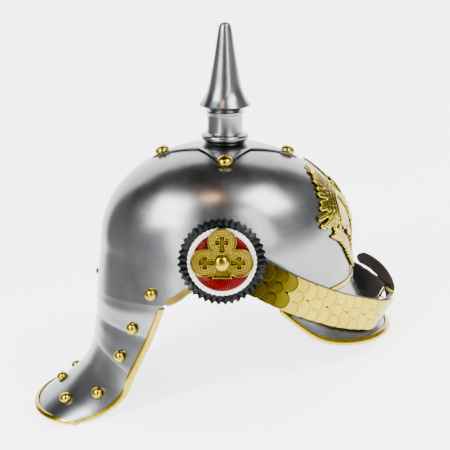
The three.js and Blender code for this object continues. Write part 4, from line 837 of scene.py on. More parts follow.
def eagle_strokes():
    """The relief's strokes: two ends, a radius at each, the height of its foot and its swell."""
    strokes = []

    def stroke(a, b, ra, rb, level, swell, rib=0.0, side=1):
        ends = [np.array([side * x, z]) for x, z in (a, b)]
        strokes.append((*ends, ra, rb, level, swell, rib))

    bone = np.array([
        (0.14, 0.62), (0.24, 0.71), (0.34, 0.76), (0.45, 0.75), (0.54, 0.7), (0.6, 0.62), (0.6, 0.54)])
    tips = [(0.27, 0.86), (0.36, 0.985), (0.44, 0.95), (0.52, 0.945), (0.59, 0.905), (0.67, 0.88),
            (0.73, 0.83), (0.79, 0.79), (0.83, 0.73), (0.88, 0.69), (0.97, 0.62), (0.95, 0.55), (0.86, 0.54),
            (0.76, 0.53), (0.65, 0.5), (0.52, 0.48), (0.4, 0.49)]
    for side in (-1, 1):
        roots = []
        for k, tip in enumerate(tips):
            at = 0.3 + 0.7 * k / (len(tips) - 1)
            spot = at * (len(bone) - 1)
            low = min(int(spot), len(bone) - 2)
            root = bone[low] + (bone[low + 1] - bone[low]) * (spot - low)
            roots.append(root)
            stroke(root, tip, 2.0, 2.5, 0.15 + 0.12 * (k % 2), 0.95, 0.35, side)
        for row, (share, level, size) in enumerate(((0.6, 0.75, 2.1), (0.36, 1.15, 1.8), (0.18, 1.5, 1.6))):
            for k in range(len(tips) - 1):
                root, tip = roots[k], np.array(tips[k])
                if row % 2 == 0:
                    root, tip = (root + roots[k + 1]) / 2, (tip + tips[k + 1]) / 2
                stroke(root, root + (tip - root) * share, size * 0.8, size, level, 0.75, 0.25, side)
        for a, b in zip(bone[:-1], bone[1:]):
            stroke(a, b, 2.6, 2.3, 1.5, 1.1, 0.0, side)
        # Thigh, shank and claws.
        stroke((0.07, 0.44), (0.15, 0.37), 4.6, 3.2, 0.7, 1.3, 0.0, side)
        stroke((0.15, 0.37), (0.24, 0.345), 2.0, 1.5, 0.7, 0.9, 0.0, side)
        for claw in ((0.3, 0.375), (0.31, 0.335), (0.27, 0.295), (0.21, 0.3)):
            stroke((0.24, 0.345), claw, 1.2, 0.7, 0.8, 0.7, 0.0, side)
        # Leafy branch from the tail up to the wing.
        branch = np.array([
            (0.12, 0.05), (0.26, 0.125), (0.4, 0.215), (0.53, 0.325), (0.66, 0.41), (0.78, 0.465)])
        for a, b in zip(branch[:-1], branch[1:]):
            stroke(a, b, 1.5, 1.4, 0.5, 0.7, 0.0, side)
            way = (b - a) / np.hypot(*((b - a) * (EAGLE_SPAN, EAGLE_HEIGHT)))
            normal = np.array([-way[1] * EAGLE_HEIGHT / EAGLE_SPAN, way[0] * EAGLE_SPAN / EAGLE_HEIGHT])
            for share in (0.05, 0.38, 0.72):
                start = a + (b - a) * share
                for turn in (-1, 1):
                    stroke(start, start + way * 4.6 + normal * turn * 3.7, 0.9, 1.7, 0.7, 0.8, 0.3, side)
        # Spray beside the leg.
        for k, end in enumerate(((0.43, 0.5), (0.4, 0.46), (0.46, 0.46), (0.36, 0.43), (0.44, 0.42))):
            stroke((0.3 + 0.02 * k, 0.38), end, 0.8, 1.5, 0.7, 0.8, 0.25, side)
    # Tail, a fan of feathers.
    for k in range(-4, 5):
        stroke((0.02 * k, 0.37), (0.042 * k, 0.035 + 0.006 * k * k), 1.8, 2.7, 0.4 + 0.1 * (k % 2), 0.9, 0.35)
    for k in range(-3, 4):
        stroke((0.02 * k, 0.38), (0.036 * k, 0.2 + 0.004 * k * k), 1.8, 2.2, 0.95, 0.7, 0.25)
    # Breast, neck, head, beak and crown.
    stroke((0, 0.62), (0, 0.47), 8.6, 7.4, 1.0, 2.2)
    stroke((0, 0.72), (-0.015, 0.82), 5.2, 4.3, 1.1, 1.9)
    stroke((-0.05, 0.835), (-0.13, 0.82), 2.6, 1.0, 1.2, 1.3)
    stroke((-0.13, 0.82), (-0.135, 0.8), 1.0, 0.6, 1.2, 0.8)
    for a, b in (((-0.09, 0.9), (0.09, 0.9)), ((-0.09, 0.9), (-0.06, 0.955)), ((0.09, 0.9), (0.06, 0.955)),
                 ((0, 0.9), (0, 0.96)), ((-0.06, 0.955), (0, 0.97)), ((0.06, 0.955), (0, 0.97))):
        stroke(a, b, 1.3, 1.1, 0.8, 0.9)
    stroke((0, 0.98), (0, 0.982), 1.6, 1.6, 0.9, 0.9)
    return strokes


def eagle():
    strokes = eagle_strokes()
    size = np.array([EAGLE_SPAN, EAGLE_HEIGHT])
    halves = (1, EAGLE_OUTLINE), (-1, EAGLE_OUTLINE[-2:0:-1])
    outline = [(side * x * size[0], z * size[1]) for side, rows in halves for x, z in rows]
    gaps = [[(side * x * size[0], z * size[1]) for x, z in EAGLE_GAP] for side in (-1, 1)]

    def plate_distance(x, z):
        d = np.maximum(polygon_distance(x, z, outline) + 3.5, np.hypot(x / 40, (z - 62) / 26) * 20 - 20)
        for gap in gaps:
            d = np.maximum(d, -polygon_distance(x, z, gap))
        return d

    def distance(x, z):
        d = plate_distance(x, z)
        for a, b, ra, rb, *_ in strokes:
            away, t = segment(x, z, a * size, b * size)
            d = np.minimum(d, away - (ra + (rb - ra) * t))
        limit = np.maximum(-z + 0.3, z - size[1] + 0.3)
        return np.maximum(d, np.maximum(limit, np.abs(x) - size[0] + 0.3))

    def relief(x, z):
        height = np.zeros_like(x)
        for a, b, ra, rb, level, swell, rib in strokes:
            away, t = segment(x, z, a * size, b * size)
            radius = ra + (rb - ra) * t
            inside = away < radius
            body = level + swell * np.sqrt(np.clip(1 - (away / radius) ** 2, 0, 1))
            body = body - rib * np.exp(-(away / 0.45) ** 2)
            height = np.where(inside, np.maximum(height, body), height)
        down = (x / 8.6) ** 2 + ((z - 0.55 * size[1]) / 15) ** 2
        feather = np.cos(x * 2.1) * np.cos(z * 1.5 + (x * 2.1 / math.pi).round() * math.pi)
        height = height + np.where(down < 1.1, 0.22 * feather * np.clip(1.1 - down, 0, 0.5) * 2, 0)
        eye = np.hypot(x + 1.8, z - 0.84 * size[1])
        return height - 0.6 * np.exp(-(eye / 0.7) ** 2) + 0.06 * np.sin(x * 5.1) * np.sin(z * 4.7)

    def place(x, z, height):
        z = np.clip(z + EAGLE_FOOT, EAGLE_FOOT - 0.05, EAGLE_FOOT + EAGLE_HEIGHT + 0.4)
        foot = skull_at_height(np.arcsin(np.clip(x / (HALF_WIDTH * 1.03), -1, 1)), z)
        return foot + skull_normal(foot) * (0.8 + 0.7 + height)[..., None]

    obj = relief_plate(
        "eagle_relief", (-66.5, 66.5), (-0.5, size[1] + 0.5), 0.56, distance, relief, place, 0.65,
        PRESSED_BRASS)
    return finish(obj, "brass", "eagle_plate")


# ---------------------------------------------------------------- cockades
LEATHER, STRAP_SEAT = 1.6, 1.6
SCALE_SEAT, SCALE_SHEET, SCALE_STEP, SCALE_PITCH, SCALE_LAP = 1.2, 0.7, 1.3, 11, 4
STACK_FOOT = STRAP_SEAT + LEATHER + SCALE_SEAT + SCALE_SHEET + SCALE_STEP + 2 * GAP
BOSS_TILT = math.radians(4)
BLACK_RADIUS, WHITE_RADIUS, RED_RADIUS, COCKADE_SHEET = 38.6, 30.0, 26.0, 1.2
LOBES = ((0, 17.8), (14.6, 0), (-14.6, 0))
LOBE_RADIUS = 12.7
STEM = [(-4.25, 8.9), (-8.85, -14), (8.85, -14), (4.25, 8.9)]
BLACK_TEETH, WHITE_WAVES, RED_FOLDS = 40, 44, 72


def boss_frame(side):
    foot = skull_at_height(side * (math.pi / 2 + 2.6 / HALF_LENGTH), 49.0)
    return foot, np.array([side * math.cos(BOSS_TILT), 0, math.sin(BOSS_TILT)])


def on_boss(side, x, y, height):
    foot, way = boss_frame(side)
    origin, basis = placement(foot, way)
    return origin + x[..., None] * basis[0] + y[..., None] * basis[1] + height[..., None] * basis[2]


def pressed_disc(name, side, level, hole, radius, surface, tone, around, rows, material):
    """A pressed disc about the boss. Its radius is a function of the angle, its surface also of the reach."""
    angle = circle_angles(around)[None, :]
    share = np.linspace(0, 1, rows + 1)[:, None]
    edge = radius(angle)
    reach = hole + (edge - hole) * share
    top = level + surface(angle, reach)
    rounding = 0.35 * (1 - np.sqrt(1 - np.clip((share - 0.94) / 0.06, 0, 1) ** 2))
    x, y = reach * np.cos(angle), reach * np.sin(angle)
    outer = on_boss(side, x, y, top - rounding)
    inner = on_boss(side, x, y, np.maximum(top - 0.8, level) + 0 * x)
    obj = sheet(name, outer, inner, material, wrapped=True, sharp=35)
    # Painted shade from the tone, darker on the underside.
    values = tone(angle, reach) + 0 * x
    shade(obj.data, np.concatenate([values.ravel(), values.ravel() * 0.6])[:len(obj.data.vertices)])
    return obj


def fold(angle, count):
    """A pleat that rises slowly and falls quickly, so many times in a turn."""
    t = np.mod(angle * count / (2 * math.pi), 1)
    return np.where(t < 0.72, t / 0.72, (1 - t) / 0.28)


def trefoil_shape(x, y):
    d = np.full_like(x, 1e9)
    for cx, cy in LOBES:
        d = np.minimum(d, np.hypot(x - cx, y - cy) - LOBE_RADIUS)
    return np.minimum(d, polygon_distance(x, y, STEM))


def trefoil_relief(x, y):
    height = np.zeros_like(x)
    nearest = np.full_like(x, 1e9)
    for k, (cx, cy) in enumerate(LOBES):
        away = np.hypot(x - cx, y - cy)
        turn = np.arctan2(y - cy, x - cx)
        mine = away < LOBE_RADIUS
        nearest = np.minimum(nearest, away)
        part = 1.1 * np.exp(-((away - LOBE_RADIUS + 0.75) / 0.55) ** 2)
        for ring in (10.2, 8.3, 6.4):
            count = round(2 * math.pi * ring / 1.75)
            along = (np.mod(turn * count / (2 * math.pi), 1) - 0.5) * 2 * math.pi * ring / count
            part = part + 0.7 * np.exp(-((away - ring) ** 2 + along**2) / 0.5**2)
        # The cross, sunk into the lobe, with its longer arm towards the middle of the plate.
        inward = np.array([-cx, -cy]) / math.hypot(cx, cy)
        u = (x - cx) * inward[0] + (y - cy) * inward[1]
        v = -(x - cx) * inward[1] + (y - cy) * inward[0]
        flare = 1.25 + 0.16 * np.abs(u)
        arm_u = np.maximum(np.abs(v) - flare, np.maximum(-u - 5.2, u - 8.2))
        arm_v = np.maximum(np.abs(u) - 1.25 - 0.16 * np.abs(v), np.abs(v) - 5.2)
        cross = np.minimum(arm_u, arm_v)
        part = np.where(cross < 0.9, 0.45 * np.exp(-((cross - 0.35) / 0.35) ** 2), part)
        part = np.where(cross < 0, -0.8 * smoothstep(-cross, 0, 0.35), part)
        height = np.where(mine & (away <= nearest + 1e-6), part, height)
    stem = polygon_distance(x, y, STEM)
    lobes = nearest - LOBE_RADIUS
    edge = 1.2 * np.exp(-((stem + 0.85) / 0.6) ** 2)
    inner = -0.25 * smoothstep(-stem, 1.6, 2.4)
    height = np.where((stem < 0) & (lobes > -1.2), edge + inner, height)
    boss = np.hypot(x, y)
    height = np.where(boss < 7.6, 0.5 * np.exp(-((boss - 7.2) / 0.5) ** 2), height)
    return height + 0.03 * np.sin(x * 4.3) * np.sin(y * 4.9)


def cockade(side, hand):
    layer = COCKADE_SHEET + GAP

    def tooth(angle):
        return 1 - np.abs(2 * np.mod(angle * BLACK_TEETH / (2 * math.pi), 1) - 1)

    def pleats(angle, reach):
        return 0.4 + 1.5 * tooth(angle) * smoothstep(reach, WHITE_RADIUS - 3, WHITE_RADIUS + 3)

    def wave(angle):
        return np.cos(WHITE_WAVES * angle)

    def red_surface(angle, reach):
        pleat = 0.75 * (fold(angle, RED_FOLDS) - 0.5) * smoothstep(reach, 8, 14)
        return 0.8 + pleat - 0.25 * smoothstep(reach, 23, 26)

    # Painted shade: each disc is darker in the hollows of its teeth, waves or pleats.
    black = pressed_disc(
        f"cockade_black_{hand}_pleats", side, STACK_FOOT, 4, lambda a: BLACK_RADIUS - 2.6 * (1 - tooth(a)),
        pleats, lambda a, r: 0.2 + 0.8 * tooth(a), 480, 10, BLACK_LOOK)
    finish(black, "black_lacquer", f"cockade_black_{hand}")
    white = pressed_disc(
        f"cockade_white_{hand}_waves", side, STACK_FOOT + layer, 4,
        lambda a: WHITE_RADIUS - 0.3 + 0.2 * wave(a),
        lambda a, r: 0.9 + 0.16 * wave(a) * smoothstep(r, RED_RADIUS - 1, WHITE_RADIUS),
        lambda a, r: 0.9 + 0.1 * wave(a), 440, 8, WHITE_LOOK)
    finish(white, "white_lacquer", f"cockade_white_{hand}")
    red = pressed_disc(
        f"cockade_red_{hand}_pleats", side, STACK_FOOT + 2 * layer, 4,
        lambda a: RED_RADIUS - 0.35 + 0.3 * np.cos(RED_FOLDS * a), red_surface,
        lambda a, r: 0.22 + 0.78 * fold(a, RED_FOLDS), 720, 8, RED_LOOK)
    finish(red, "red_lacquer", f"cockade_red_{hand}")
    level = STACK_FOOT + 3 * layer
    plate = relief_plate(
        f"cockade_trefoil_{hand}_relief", (-28, 28), (-14.6, 31), 0.3, trefoil_shape, trefoil_relief,
        lambda x, y, h: on_boss(side, x, y, level + 1.25 + h), 1.2, TREFOIL_LOOK)
    finish(plate, "brass", f"cockade_trefoil_{hand}")
    seat = level + 2 + GAP
    profile = [(0, seat - 1), (2.5, seat - 1), (2.5, seat - 0.2), (6.2, seat - 0.2), (6.5, seat + 0.1),
               (6.5, seat + 0.9), (6.2, seat + 1.2)]
    bow = np.linspace(0.1, math.pi / 2 - 0.1, 12)
    profile += [(6.2 * math.cos(a), seat + 1.2 + 2.8 * math.sin(a)) for a in bow]
    profile += [(0, seat + 4)]
    screw = lathe(f"cockade_screw_{hand}_dome", profile, BRASS_LOOK, 48, placement(*boss_frame(side)))
    finish(screw, "brass", f"cockade_screw_{hand}")


# ---------------------------------------------------------------- chin strap
STRAP_ROUTE = [
    (0.361, -0.03, 0.43), (0.509, -0.14, 0.605), (0.645, -0.24, 0.745), (0.742, -0.35, 0.835),
    (0.866, -0.53, 0.94), (0.944, -0.78, 0.985), (0.973, -0.93, 1), (0.977, -1, 1)]
TONGUE_ROUTE = [
    (0.984, -1.053, 1), (1.014, -1.128, 1), (1.026, -1.2, 0.935), (0.996, -1.31, 0.775), (0.93, -1.45, 0.66),
    (0.85, -1.6, 0.62)]
STRAP_LEAN = np.array([
    (0, 0.44, 0, 1), (0.3, 0.45, 0.08, 0.9), (0.5, 0.46, 0.2, 0.79), (0.65, 0.48, 0.38, 0.68),
    (0.8, 0.53, 0.42, 0.5), (0.92, 0.56, 0.3, 0.2), (1, 0.56, 0, 0)])
BUCKLE_HEIGHT, BUCKLE_WIDTH, BUCKLE_WIRE = 23.0, 21.0, 3.0
STRAP_BOSS_WIDTH, STRAP_FRONT_WIDTH, TONGUE_WIDTH = 34.0, 19.0, 12.0
STRAP_FRONT_HEIGHT = float(visor_at(0, 0.85)[2]) + BUCKLE_HEIGHT * 0.45 + 2.2


class Route:
    """The middle line of the strap, a centripetal curve through its points, measured by its length."""

    def __init__(self, side, with_tongue):
        foot, way = boss_frame(side)
        start = foot + way * (STRAP_SEAT + LEATHER / 2)
        slope = math.radians(26.5)
        ahead = np.array([side * math.sin(slope) * math.sin(BOSS_TILT), -math.cos(slope),
                          -math.sin(slope) * math.cos(BOSS_TILT)])
        points = [start] + [start + ahead * BLACK_RADIUS * share for share in (0.45, 0.9)]
        fall = STRAP_FRONT_HEIGHT - start[2]
        for a, out, down in STRAP_ROUTE + (TONGUE_ROUTE if with_tongue else []):
            points.append(np.array([start[0] * (1 + out), VISOR_TIP * a, start[2] + fall * down]))
        points = [2 * points[0] - points[1]] + points + [2 * points[-1] - points[-2]]
        curve = []
        for k in range(1, len(points) - 2):
            p0, p1, p2, p3 = points[k - 1:k + 3]
            d0, d1, d2 = (math.sqrt(np.linalg.norm(b - a)) for a, b in ((p0, p1), (p1, p2), (p2, p3)))
            t1 = ((p1 - p0) / d0 - (p2 - p0) / (d0 + d1) + (p2 - p1) / d1) * d1
            t2 = ((p2 - p1) / d1 - (p3 - p1) / (d1 + d2) + (p3 - p2) / d2) * d1
            t = np.linspace(0, 1, 120, endpoint=False)[:, None]
            bend, twist = 3 * (p2 - p1) - 2 * t1 - t2, 2 * (p1 - p2) + t1 + t2
            curve.append(p1 + t1 * t + bend * t**2 + twist * t**3)
        self.points = np.concatenate(curve + [points[-2][None]])
        steps = np.linalg.norm(np.diff(self.points, axis=0), axis=1)
        self.lengths = np.concatenate([[0], np.cumsum(steps)])
        self.length = self.lengths[-1]
        self.side, self.way = side, way

    def at(self, distance):
        return np.stack([np.interp(distance, self.lengths, self.points[:, k]) for k in range(3)], -1)

    def frame(self, distance, half_length):
        """The point, the way up over the strap's width and the way out from the head."""
        distance = np.asarray(distance, float)
        held = np.clip(distance, 0, self.length)
        along = unit(self.at(np.minimum(held + 0.6, self.length)) - self.at(np.maximum(held - 0.6, 0)))
        first = unit(self.at(np.array(0.6)) - self.at(np.array(0.0)))
        point = self.at(held) + first * np.minimum(distance, 0)[..., None]
        boss = np.cross(self.way, along)
        boss = np.where(boss[..., 2:3] < 0, -boss, boss)
        progress = np.clip(held / half_length, 0, 1)
        forward, inward = (between(STRAP_LEAN[:, 0], STRAP_LEAN[:, k], progress) for k in (1, 2))
        front = unit(np.stack([-self.side * inward, -forward, 1 - forward * 0.4], -1))
        blend = smoothstep(distance, BLACK_RADIUS * 0.9, 1.6 * BLACK_RADIUS)[..., None]
        across = unit(boss + (front - boss) * blend)
        out = unit(np.cross(along, across)) * -self.side
        across = unit(np.cross(out, along))
        across = np.where(across[..., 2:3] < 0, -across, across)
        return point, across, out


HALF_ROUTE = Route(1, False).length


def strap_taper(distance):
    progress = np.clip(np.asarray(distance, float) / HALF_ROUTE, 0, 1)
    share = between(STRAP_LEAN[:, 0], STRAP_LEAN[:, 3], progress)
    return STRAP_FRONT_WIDTH + (STRAP_BOSS_WIDTH - STRAP_FRONT_WIDTH) * share


def leather_strap(side, hand):
    with_tongue = side < 0
    route = Route(side, with_tongue)
    total = route.length if with_tongue else HALF_ROUTE - BUCKLE_WIDTH * 0.85
    start = -STRAP_BOSS_WIDTH / 3
    columns, rows = 260, 12
    distance = np.linspace(start, total, columns + 1)
    point, across, out = route.frame(distance, HALF_ROUTE)
    near = smoothstep(distance, HALF_ROUTE - 20, HALF_ROUTE - 4) if with_tongue else 0 * distance
    half = strap_taper(distance) / 2
    low = (1.6 - half) * (1 - near) - TONGUE_WIDTH / 2 * near
    high = (1 + half) * (1 - near) + TONGUE_WIDTH / 2 * near
    taper = np.clip(np.sqrt(np.clip((distance - start) / 14 + 0.12, 0, 1)), 0, 1)
    if with_tongue:
        taper = taper * np.sqrt(np.clip((total - distance) / 7 + 0.08, 0, 1))
    outer, inner = [], []
    for t in np.linspace(0, 1, rows + 1):
        offset = (low + (high - low) * t) * taper
        round_edge = LEATHER / 2 * math.sqrt(max(0.12, 1 - abs(2 * t - 1) ** 14))
        base = point + across * offset[:, None]
        outer.append(base + out * round_edge)
        inner.append(base - out * round_edge)
    obj = sheet(f"strap_{hand}_hide", np.array(outer), np.array(inner), LEATHER_LOOK)
    return finish(obj, "leather", f"strap_leather_{hand}")


def one_scale(route, start, lobes):
    """Grids and painted shade of a scale that climbs to a scalloped edge, with a dot at each lobe's joint."""
    steps, rows = 10, 9
    columns = lobes * steps
    u = np.linspace(0, 1, columns + 1)[None, :]
    t = np.linspace(0, 1, rows + 1)[:, None] ** 0.8
    width = float(strap_taper(start))
    length = SCALE_PITCH + SCALE_LAP
    in_lobe = np.mod(u * lobes, 1) * 2 - 1
    joint = (u == 0) | (u == 1) | (np.abs(np.mod(u * lobes + 0.5, 1) - 0.5) < 1e-6)
    in_lobe = np.where(joint, 1.0, in_lobe)
    scallop = 1 - np.sqrt(1 - np.clip(np.abs(in_lobe), 0, 1) ** 2)
    reach = t * (length - 0.42 * width / lobes * scallop)
    rise = SCALE_STEP * t**0.9 + 0.55 * t * np.sqrt(np.clip(1 - in_lobe**2, 0, 1)) - 0.4 * t**6
    rise = rise + 0.25 * np.exp(-((t - 0.9) / 0.05) ** 2)
    foot = LEATHER / 2 + SCALE_SEAT
    point, across, out = route.frame(start + reach, HALF_ROUTE)
    side_step = ((u - 0.5) * width + 0 * t)[..., None]
    base = point + across * side_step
    top = foot + SCALE_SHEET + rise
    dots = np.zeros_like(reach)
    for k in range(1, lobes):
        away = np.hypot((u - k / lobes) * width, reach - (length * 0.5))
        dots = np.maximum(dots, np.exp(-((away / 1.1) ** 4)))
    top = top - 0.35 * dots
    outer = base + out * top[..., None]
    under = np.maximum(foot, top - SCALE_SHEET - 0.15)
    inner = base + out * under[..., None]
    # Painted shade: darker towards the root, in the dots, in a thin line at the scalloped edge and towards
    # the sides of each lobe.
    tone = 0.78 + 0.25 * t - 0.85 * dots - 0.9 * np.exp(-((t - 1) / 0.07) ** 2) + 0 * u
    tone = tone - 0.25 * np.clip(1 - (1 - np.abs(in_lobe)) / 0.12, 0, 1) * t
    return outer, inner, np.clip(tone, 0.08, 1)


def chin_scales(side, hand):
    route = Route(side, False)
    first = BLACK_RADIUS * 0.25
    last = HALF_ROUTE - BUCKLE_WIDTH * (0.3 if side < 0 else 1.1)
    count = int((last - first) / SCALE_PITCH)
    grids, faces, tones = [], [], []
    for k in range(count):
        start = first + k * SCALE_PITCH
        outer, inner, tone = one_scale(route, start, 2 + k % 2)
        # The scales by the boss are painted darker: painted shade under it and a painted reflection of the
        # dark beside it.
        painted_boss_shade = 0.1 + 0.9 * float(smoothstep(start, 50, 72))
        grids.append((outer, inner))
        # Painted shade, darker still on the undersides.
        tones += [tone.ravel() * painted_boss_shade, tone.ravel() * 0.5 * painted_boss_shade]
    # A plain plate under the boss carries the first scale.
    width, cells = STRAP_BOSS_WIDTH, 12
    distance = np.linspace(-width / 3, first + SCALE_LAP, cells + 1)[:, None]
    across_share = np.linspace(-0.5, 0.5, cells + 1)[None, :]
    point, across, out = route.frame(distance + 0 * across_share, HALF_ROUTE)
    narrow = np.clip(0.7 + 0.3 * (distance + width / 3) / 10, 0, 1)
    base = point + across * (across_share * width * narrow)[..., None]
    foot = LEATHER / 2 + SCALE_SEAT
    grids.append((base + out * (foot + SCALE_SHEET), base + out * foot))
    # Painted shade: the plate under the boss is dark.
    tones += [np.full((cells + 1) ** 2, tone) for tone in (0.5, 0.4)]
    shift = 0
    for outer, _ in grids:
        rows, columns = outer.shape[0] - 1, outer.shape[1] - 1
        faces += [[a + shift for a in face] for face in sheet_faces(columns, rows)]
        shift += 2 * (rows + 1) * (columns + 1)
    points = np.concatenate([grid.reshape(-1, 3) for pair in grids for grid in pair])
    name = f"chin_scales_{hand}_row"
    mesh = bpy.data.meshes.new(name)
    mesh.from_pydata([tuple(p) for p in to_world(points)], [], faces)
    shade(mesh, np.concatenate(tones))
    bm_fix(mesh, merge=False)
    return finish(add_object(name, mesh, PRESSED_BRASS, 50), "brass", f"chin_scales_{hand}")


def round_wire(name, path, radius_across, radius_out, normals, material, closed_path, around=14):
    """A wire along a path, flat or round in section by its two radii."""
    path, normals = np.asarray(path, float), np.asarray(normals, float)
    if closed_path:
        tangent = unit(np.roll(path, -1, 0) - np.roll(path, 1, 0))
    else:
        tangent = unit(np.gradient(path, axis=0))
    beside = unit(np.cross(tangent, normals))
    turn = circle_angles(around)
    rings = path[:, None] + beside[:, None] * (radius_across * np.cos(turn))[None, :, None]
    rings = rings + normals[:, None] * (radius_out * np.sin(turn))[None, :, None]
    return sweep(name, rings, material, closed_path)


def buckle():
    route = Route(1, False)
    point, across, out = route.frame(np.array(HALF_ROUTE - BUCKLE_WIDTH * 0.45), HALF_ROUTE)
    origin, basis = placement(point + out * (LEATHER / 2 + GAP), out)
    wire = BUCKLE_WIRE / 2
    w, h, r = BUCKLE_WIDTH / 2 - wire, BUCKLE_HEIGHT / 2 - wire, 2.4
    corners = [((w - r, -h + r), -90), ((w - r, h - r), 0), ((-w + r, h - r), 90), ((-w + r, -h + r), 180)]
    flat = []
    for (cx, cy), start in corners:
        for k in range(9):
            angle = math.radians(start + 90 * k / 8)
            flat.append((cx + r * math.cos(angle), cy + r * math.sin(angle)))
    # Points are added on the straight sides, so that the wire bends only at its corners.
    loop = []
    for a, b in zip(flat, flat[1:] + flat[:1]):
        pieces = 8 if math.dist(a, b) > 3 else 1
        loop += [(a[0] + (b[0] - a[0]) * k / pieces, a[1] + (b[1] - a[1]) * k / pieces)
                 for k in range(pieces)]
    loop = np.array(loop)
    path = origin + loop[:, :1] * basis[0] + loop[:, 1:] * basis[1] + basis[2] * 1.2
    facing = np.tile(basis[2], (len(path), 1))
    hoop = round_wire("buckle_wire", path, wire * 0.95, 1.15, facing, BRASS_LOOK, True)
    finish(hoop, "brass", "buckle_frame")
    # The prong lies across the opening, from the bar on the strap's side to the far one.
    reach = np.linspace(-w - 0.4, w + 0.4, 28)
    lift = 2.6 + 0.9 * np.cos(reach / w * math.pi / 2)
    path = origin + reach[:, None] * basis[0] + basis[2] * lift[:, None]
    beside = unit(np.cross(np.gradient(path, axis=0), basis[1]))
    facing = beside * np.sign((beside @ basis[2])[:, None])
    prong = round_wire("buckle_prong", path, 0.8, 0.7, facing, STEEL_LOOK, False, 10)
    return finish(prong, "steel")


# ---------------------------------------------------------------- build
for step in (skull, visor, visor_rim, neck_rim, seam_strip, studs, spike_base, spike_neck, spike, eagle,
             buckle):
    step()
for plate in PLATES:
    neck_plate(*plate)
for side, hand in ((-1, "right"), (1, "left")):
    ear_trim(side, hand)
    cockade(side, hand)
    chin_scales(side, hand)
    leather_strap(side, hand)
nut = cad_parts["crown_nut"]
for slot in nut.material_slots:
    slot.material = STEEL_LOOK

# ---------------------------------------------------------------- camera, light and floor
ELEVATION, DISTANCE, AIM = math.radians(16), 952.0, np.array([0, 0, 53.0])
back = np.array([-math.cos(ELEVATION), 0, math.sin(ELEVATION)])
right = np.cross(-back, [0, 0, 1.0])
right = right / np.linalg.norm(right)
upward = np.cross(right, -back)
turn = Matrix(np.stack([right, upward, back], 1).tolist()).to_4x4()
camera_data = bpy.data.cameras.new("camera")
camera_data.sensor_width, camera_data.lens = 36, 80
camera = bpy.data.objects.new("camera", camera_data)
bpy.context.collection.objects.link(camera)
camera.matrix_world = LEVEL @ Matrix.Translation(Vector((AIM + back * DISTANCE) * MM)) @ turn
bpy.context.scene.camera = camera


def backdrop():
    """A pale floor that curves up behind the helmet into a wall, all round but for the lights' side."""
    radius, wide = 1.2, 6.0
    profile = [(-4.0, 0.0), (1.6, 0.0)]
    profile += [(1.6 + radius * math.sin(a), radius * (1 - math.cos(a)))
                for a in np.linspace(0.1, math.pi / 2, 14)]
    profile += [(1.6 + radius, 4.5)]
    columns = 24
    points = [(x, wide * (k / columns * 2 - 1), z) for x, z in profile for k in range(columns + 1)]
    across = columns + 1
    faces = [(r * across + k, r * across + k + 1, (r + 1) * across + k + 1, (r + 1) * across + k)
             for r in range(len(profile) - 1) for k in range(columns)]
    obj = make_mesh("pale_backdrop", points, faces, pale_floor(), world=False)


backdrop()


def soft_light(name, place, aim, width, height, power, colour=(1, 1, 1)):
    data = bpy.data.lights.new(name, "AREA")
    data.shape, data.size, data.size_y, data.energy, data.color = "RECTANGLE", width, height, power, colour
    obj = bpy.data.objects.new(name, data)
    bpy.context.collection.objects.link(obj)
    obj.location = place
    obj.rotation_euler = (Vector(aim) - Vector(place)).to_track_quat("-Z", "Y").to_euler()
    return obj


MIDDLE = (0, -0.02, 0.16)
soft_light("window_left", (-0.8, 0.75, 1.35), MIDDLE, 0.75, 0.95, 48, (0.95, 0.98, 1))
soft_light("window_right", (-0.8, -1.35, 1.35), MIDDLE, 0.8, 0.95, 50, (0.95, 0.98, 1))
soft_light("lamp_between", (-0.9, -0.16, 1.75), MIDDLE, 0.3, 0.2, 3.4, (1, 0.55, 0.3))
soft_light("strip_left", (-1.1, 0.7, 0.5), MIDDLE, 0.3, 1.1, 9)
soft_light("strip_right", (-1.1, -0.75, 0.5), MIDDLE, 0.3, 1.1, 9)
wash = soft_light("wall_wash", (0.6, 0.0, 2.6), (2.6, 0, 1.0), 4.0, 0.8, 50)
wash.visible_glossy = False

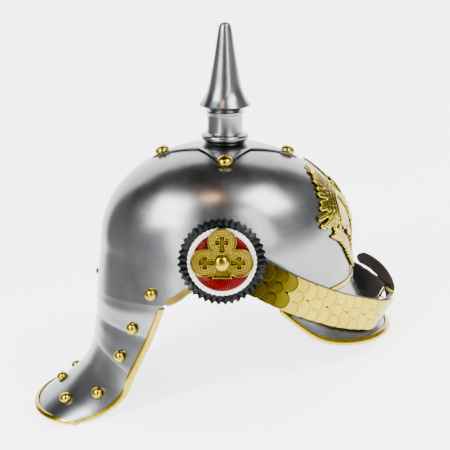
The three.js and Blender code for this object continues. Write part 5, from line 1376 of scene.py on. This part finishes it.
world = bpy.data.worlds.new("studio")
bpy.context.scene.world = world
world.use_nodes = True
tree = world.node_tree
coordinates = tree.nodes.new("ShaderNodeTexCoord").outputs["Generated"]
split = tree.nodes.new("ShaderNodeSeparateXYZ")
tree.links.new(coordinates, split.inputs[0])


def colour_band(value, stops):
    """A world colour ramp over one share of the direction."""
    made = tree.nodes.new("ShaderNodeValToRGB")
    tree.links.new(value, made.inputs[0])
    return fill_ramp(made, stops)


# The room is light at the horizon and dark overhead, with a darker brown strip behind the photographer.
height = colour_band(split.outputs["Z"], [
    (0.0, (1.3, 1.3, 1.29)), (0.12, (1.1, 1.1, 1.09)), (0.4, (0.7, 0.69, 0.67)), (0.62, (0.25, 0.24, 0.23)),
    (0.85, (0.09, 0.08, 0.075)), (1.0, (0.09, 0.08, 0.075))])
aside = tree.nodes.new("ShaderNodeMath")
aside.operation = "MULTIPLY_ADD"
tree.links.new(split.outputs["Y"], aside.inputs[0])
aside.inputs[1].default_value = aside.inputs[2].default_value = 0.5
strip = colour_band(aside.outputs[0], [
    (0.0, (0.3, 0.3, 0.32)), (0.08, (0.7, 0.7, 0.72)), (0.15, (0.22, 0.22, 0.23)), (0.26, (0.35, 0.35, 0.37)),
    (0.4, (0.85, 0.86, 0.88)), (0.445, (0.2, 0.15, 0.12)), (0.5, (0.13, 0.09, 0.07)),
    (0.555, (0.2, 0.15, 0.12)), (0.6, (0.8, 0.82, 0.85)), (0.7, (0.85, 0.87, 0.9)),
    (0.76, (0.25, 0.25, 0.26)), (0.83, (0.3, 0.3, 0.31)), (0.88, (0.95, 1.0, 1.1)), (0.94, (0.6, 0.6, 0.6)),
    (1.0, (0.5, 0.5, 0.5))])
both = tree.nodes.new("ShaderNodeMix")
both.data_type, both.blend_type = "RGBA", "MULTIPLY"
both.inputs[0].default_value = 1.0
tree.links.new(height, both.inputs[6])
tree.links.new(strip, both.inputs[7])
tree.links.new(both.outputs[2], tree.nodes["Background"].inputs["Color"])
tree.nodes["Background"].inputs["Strength"].default_value = 1.0
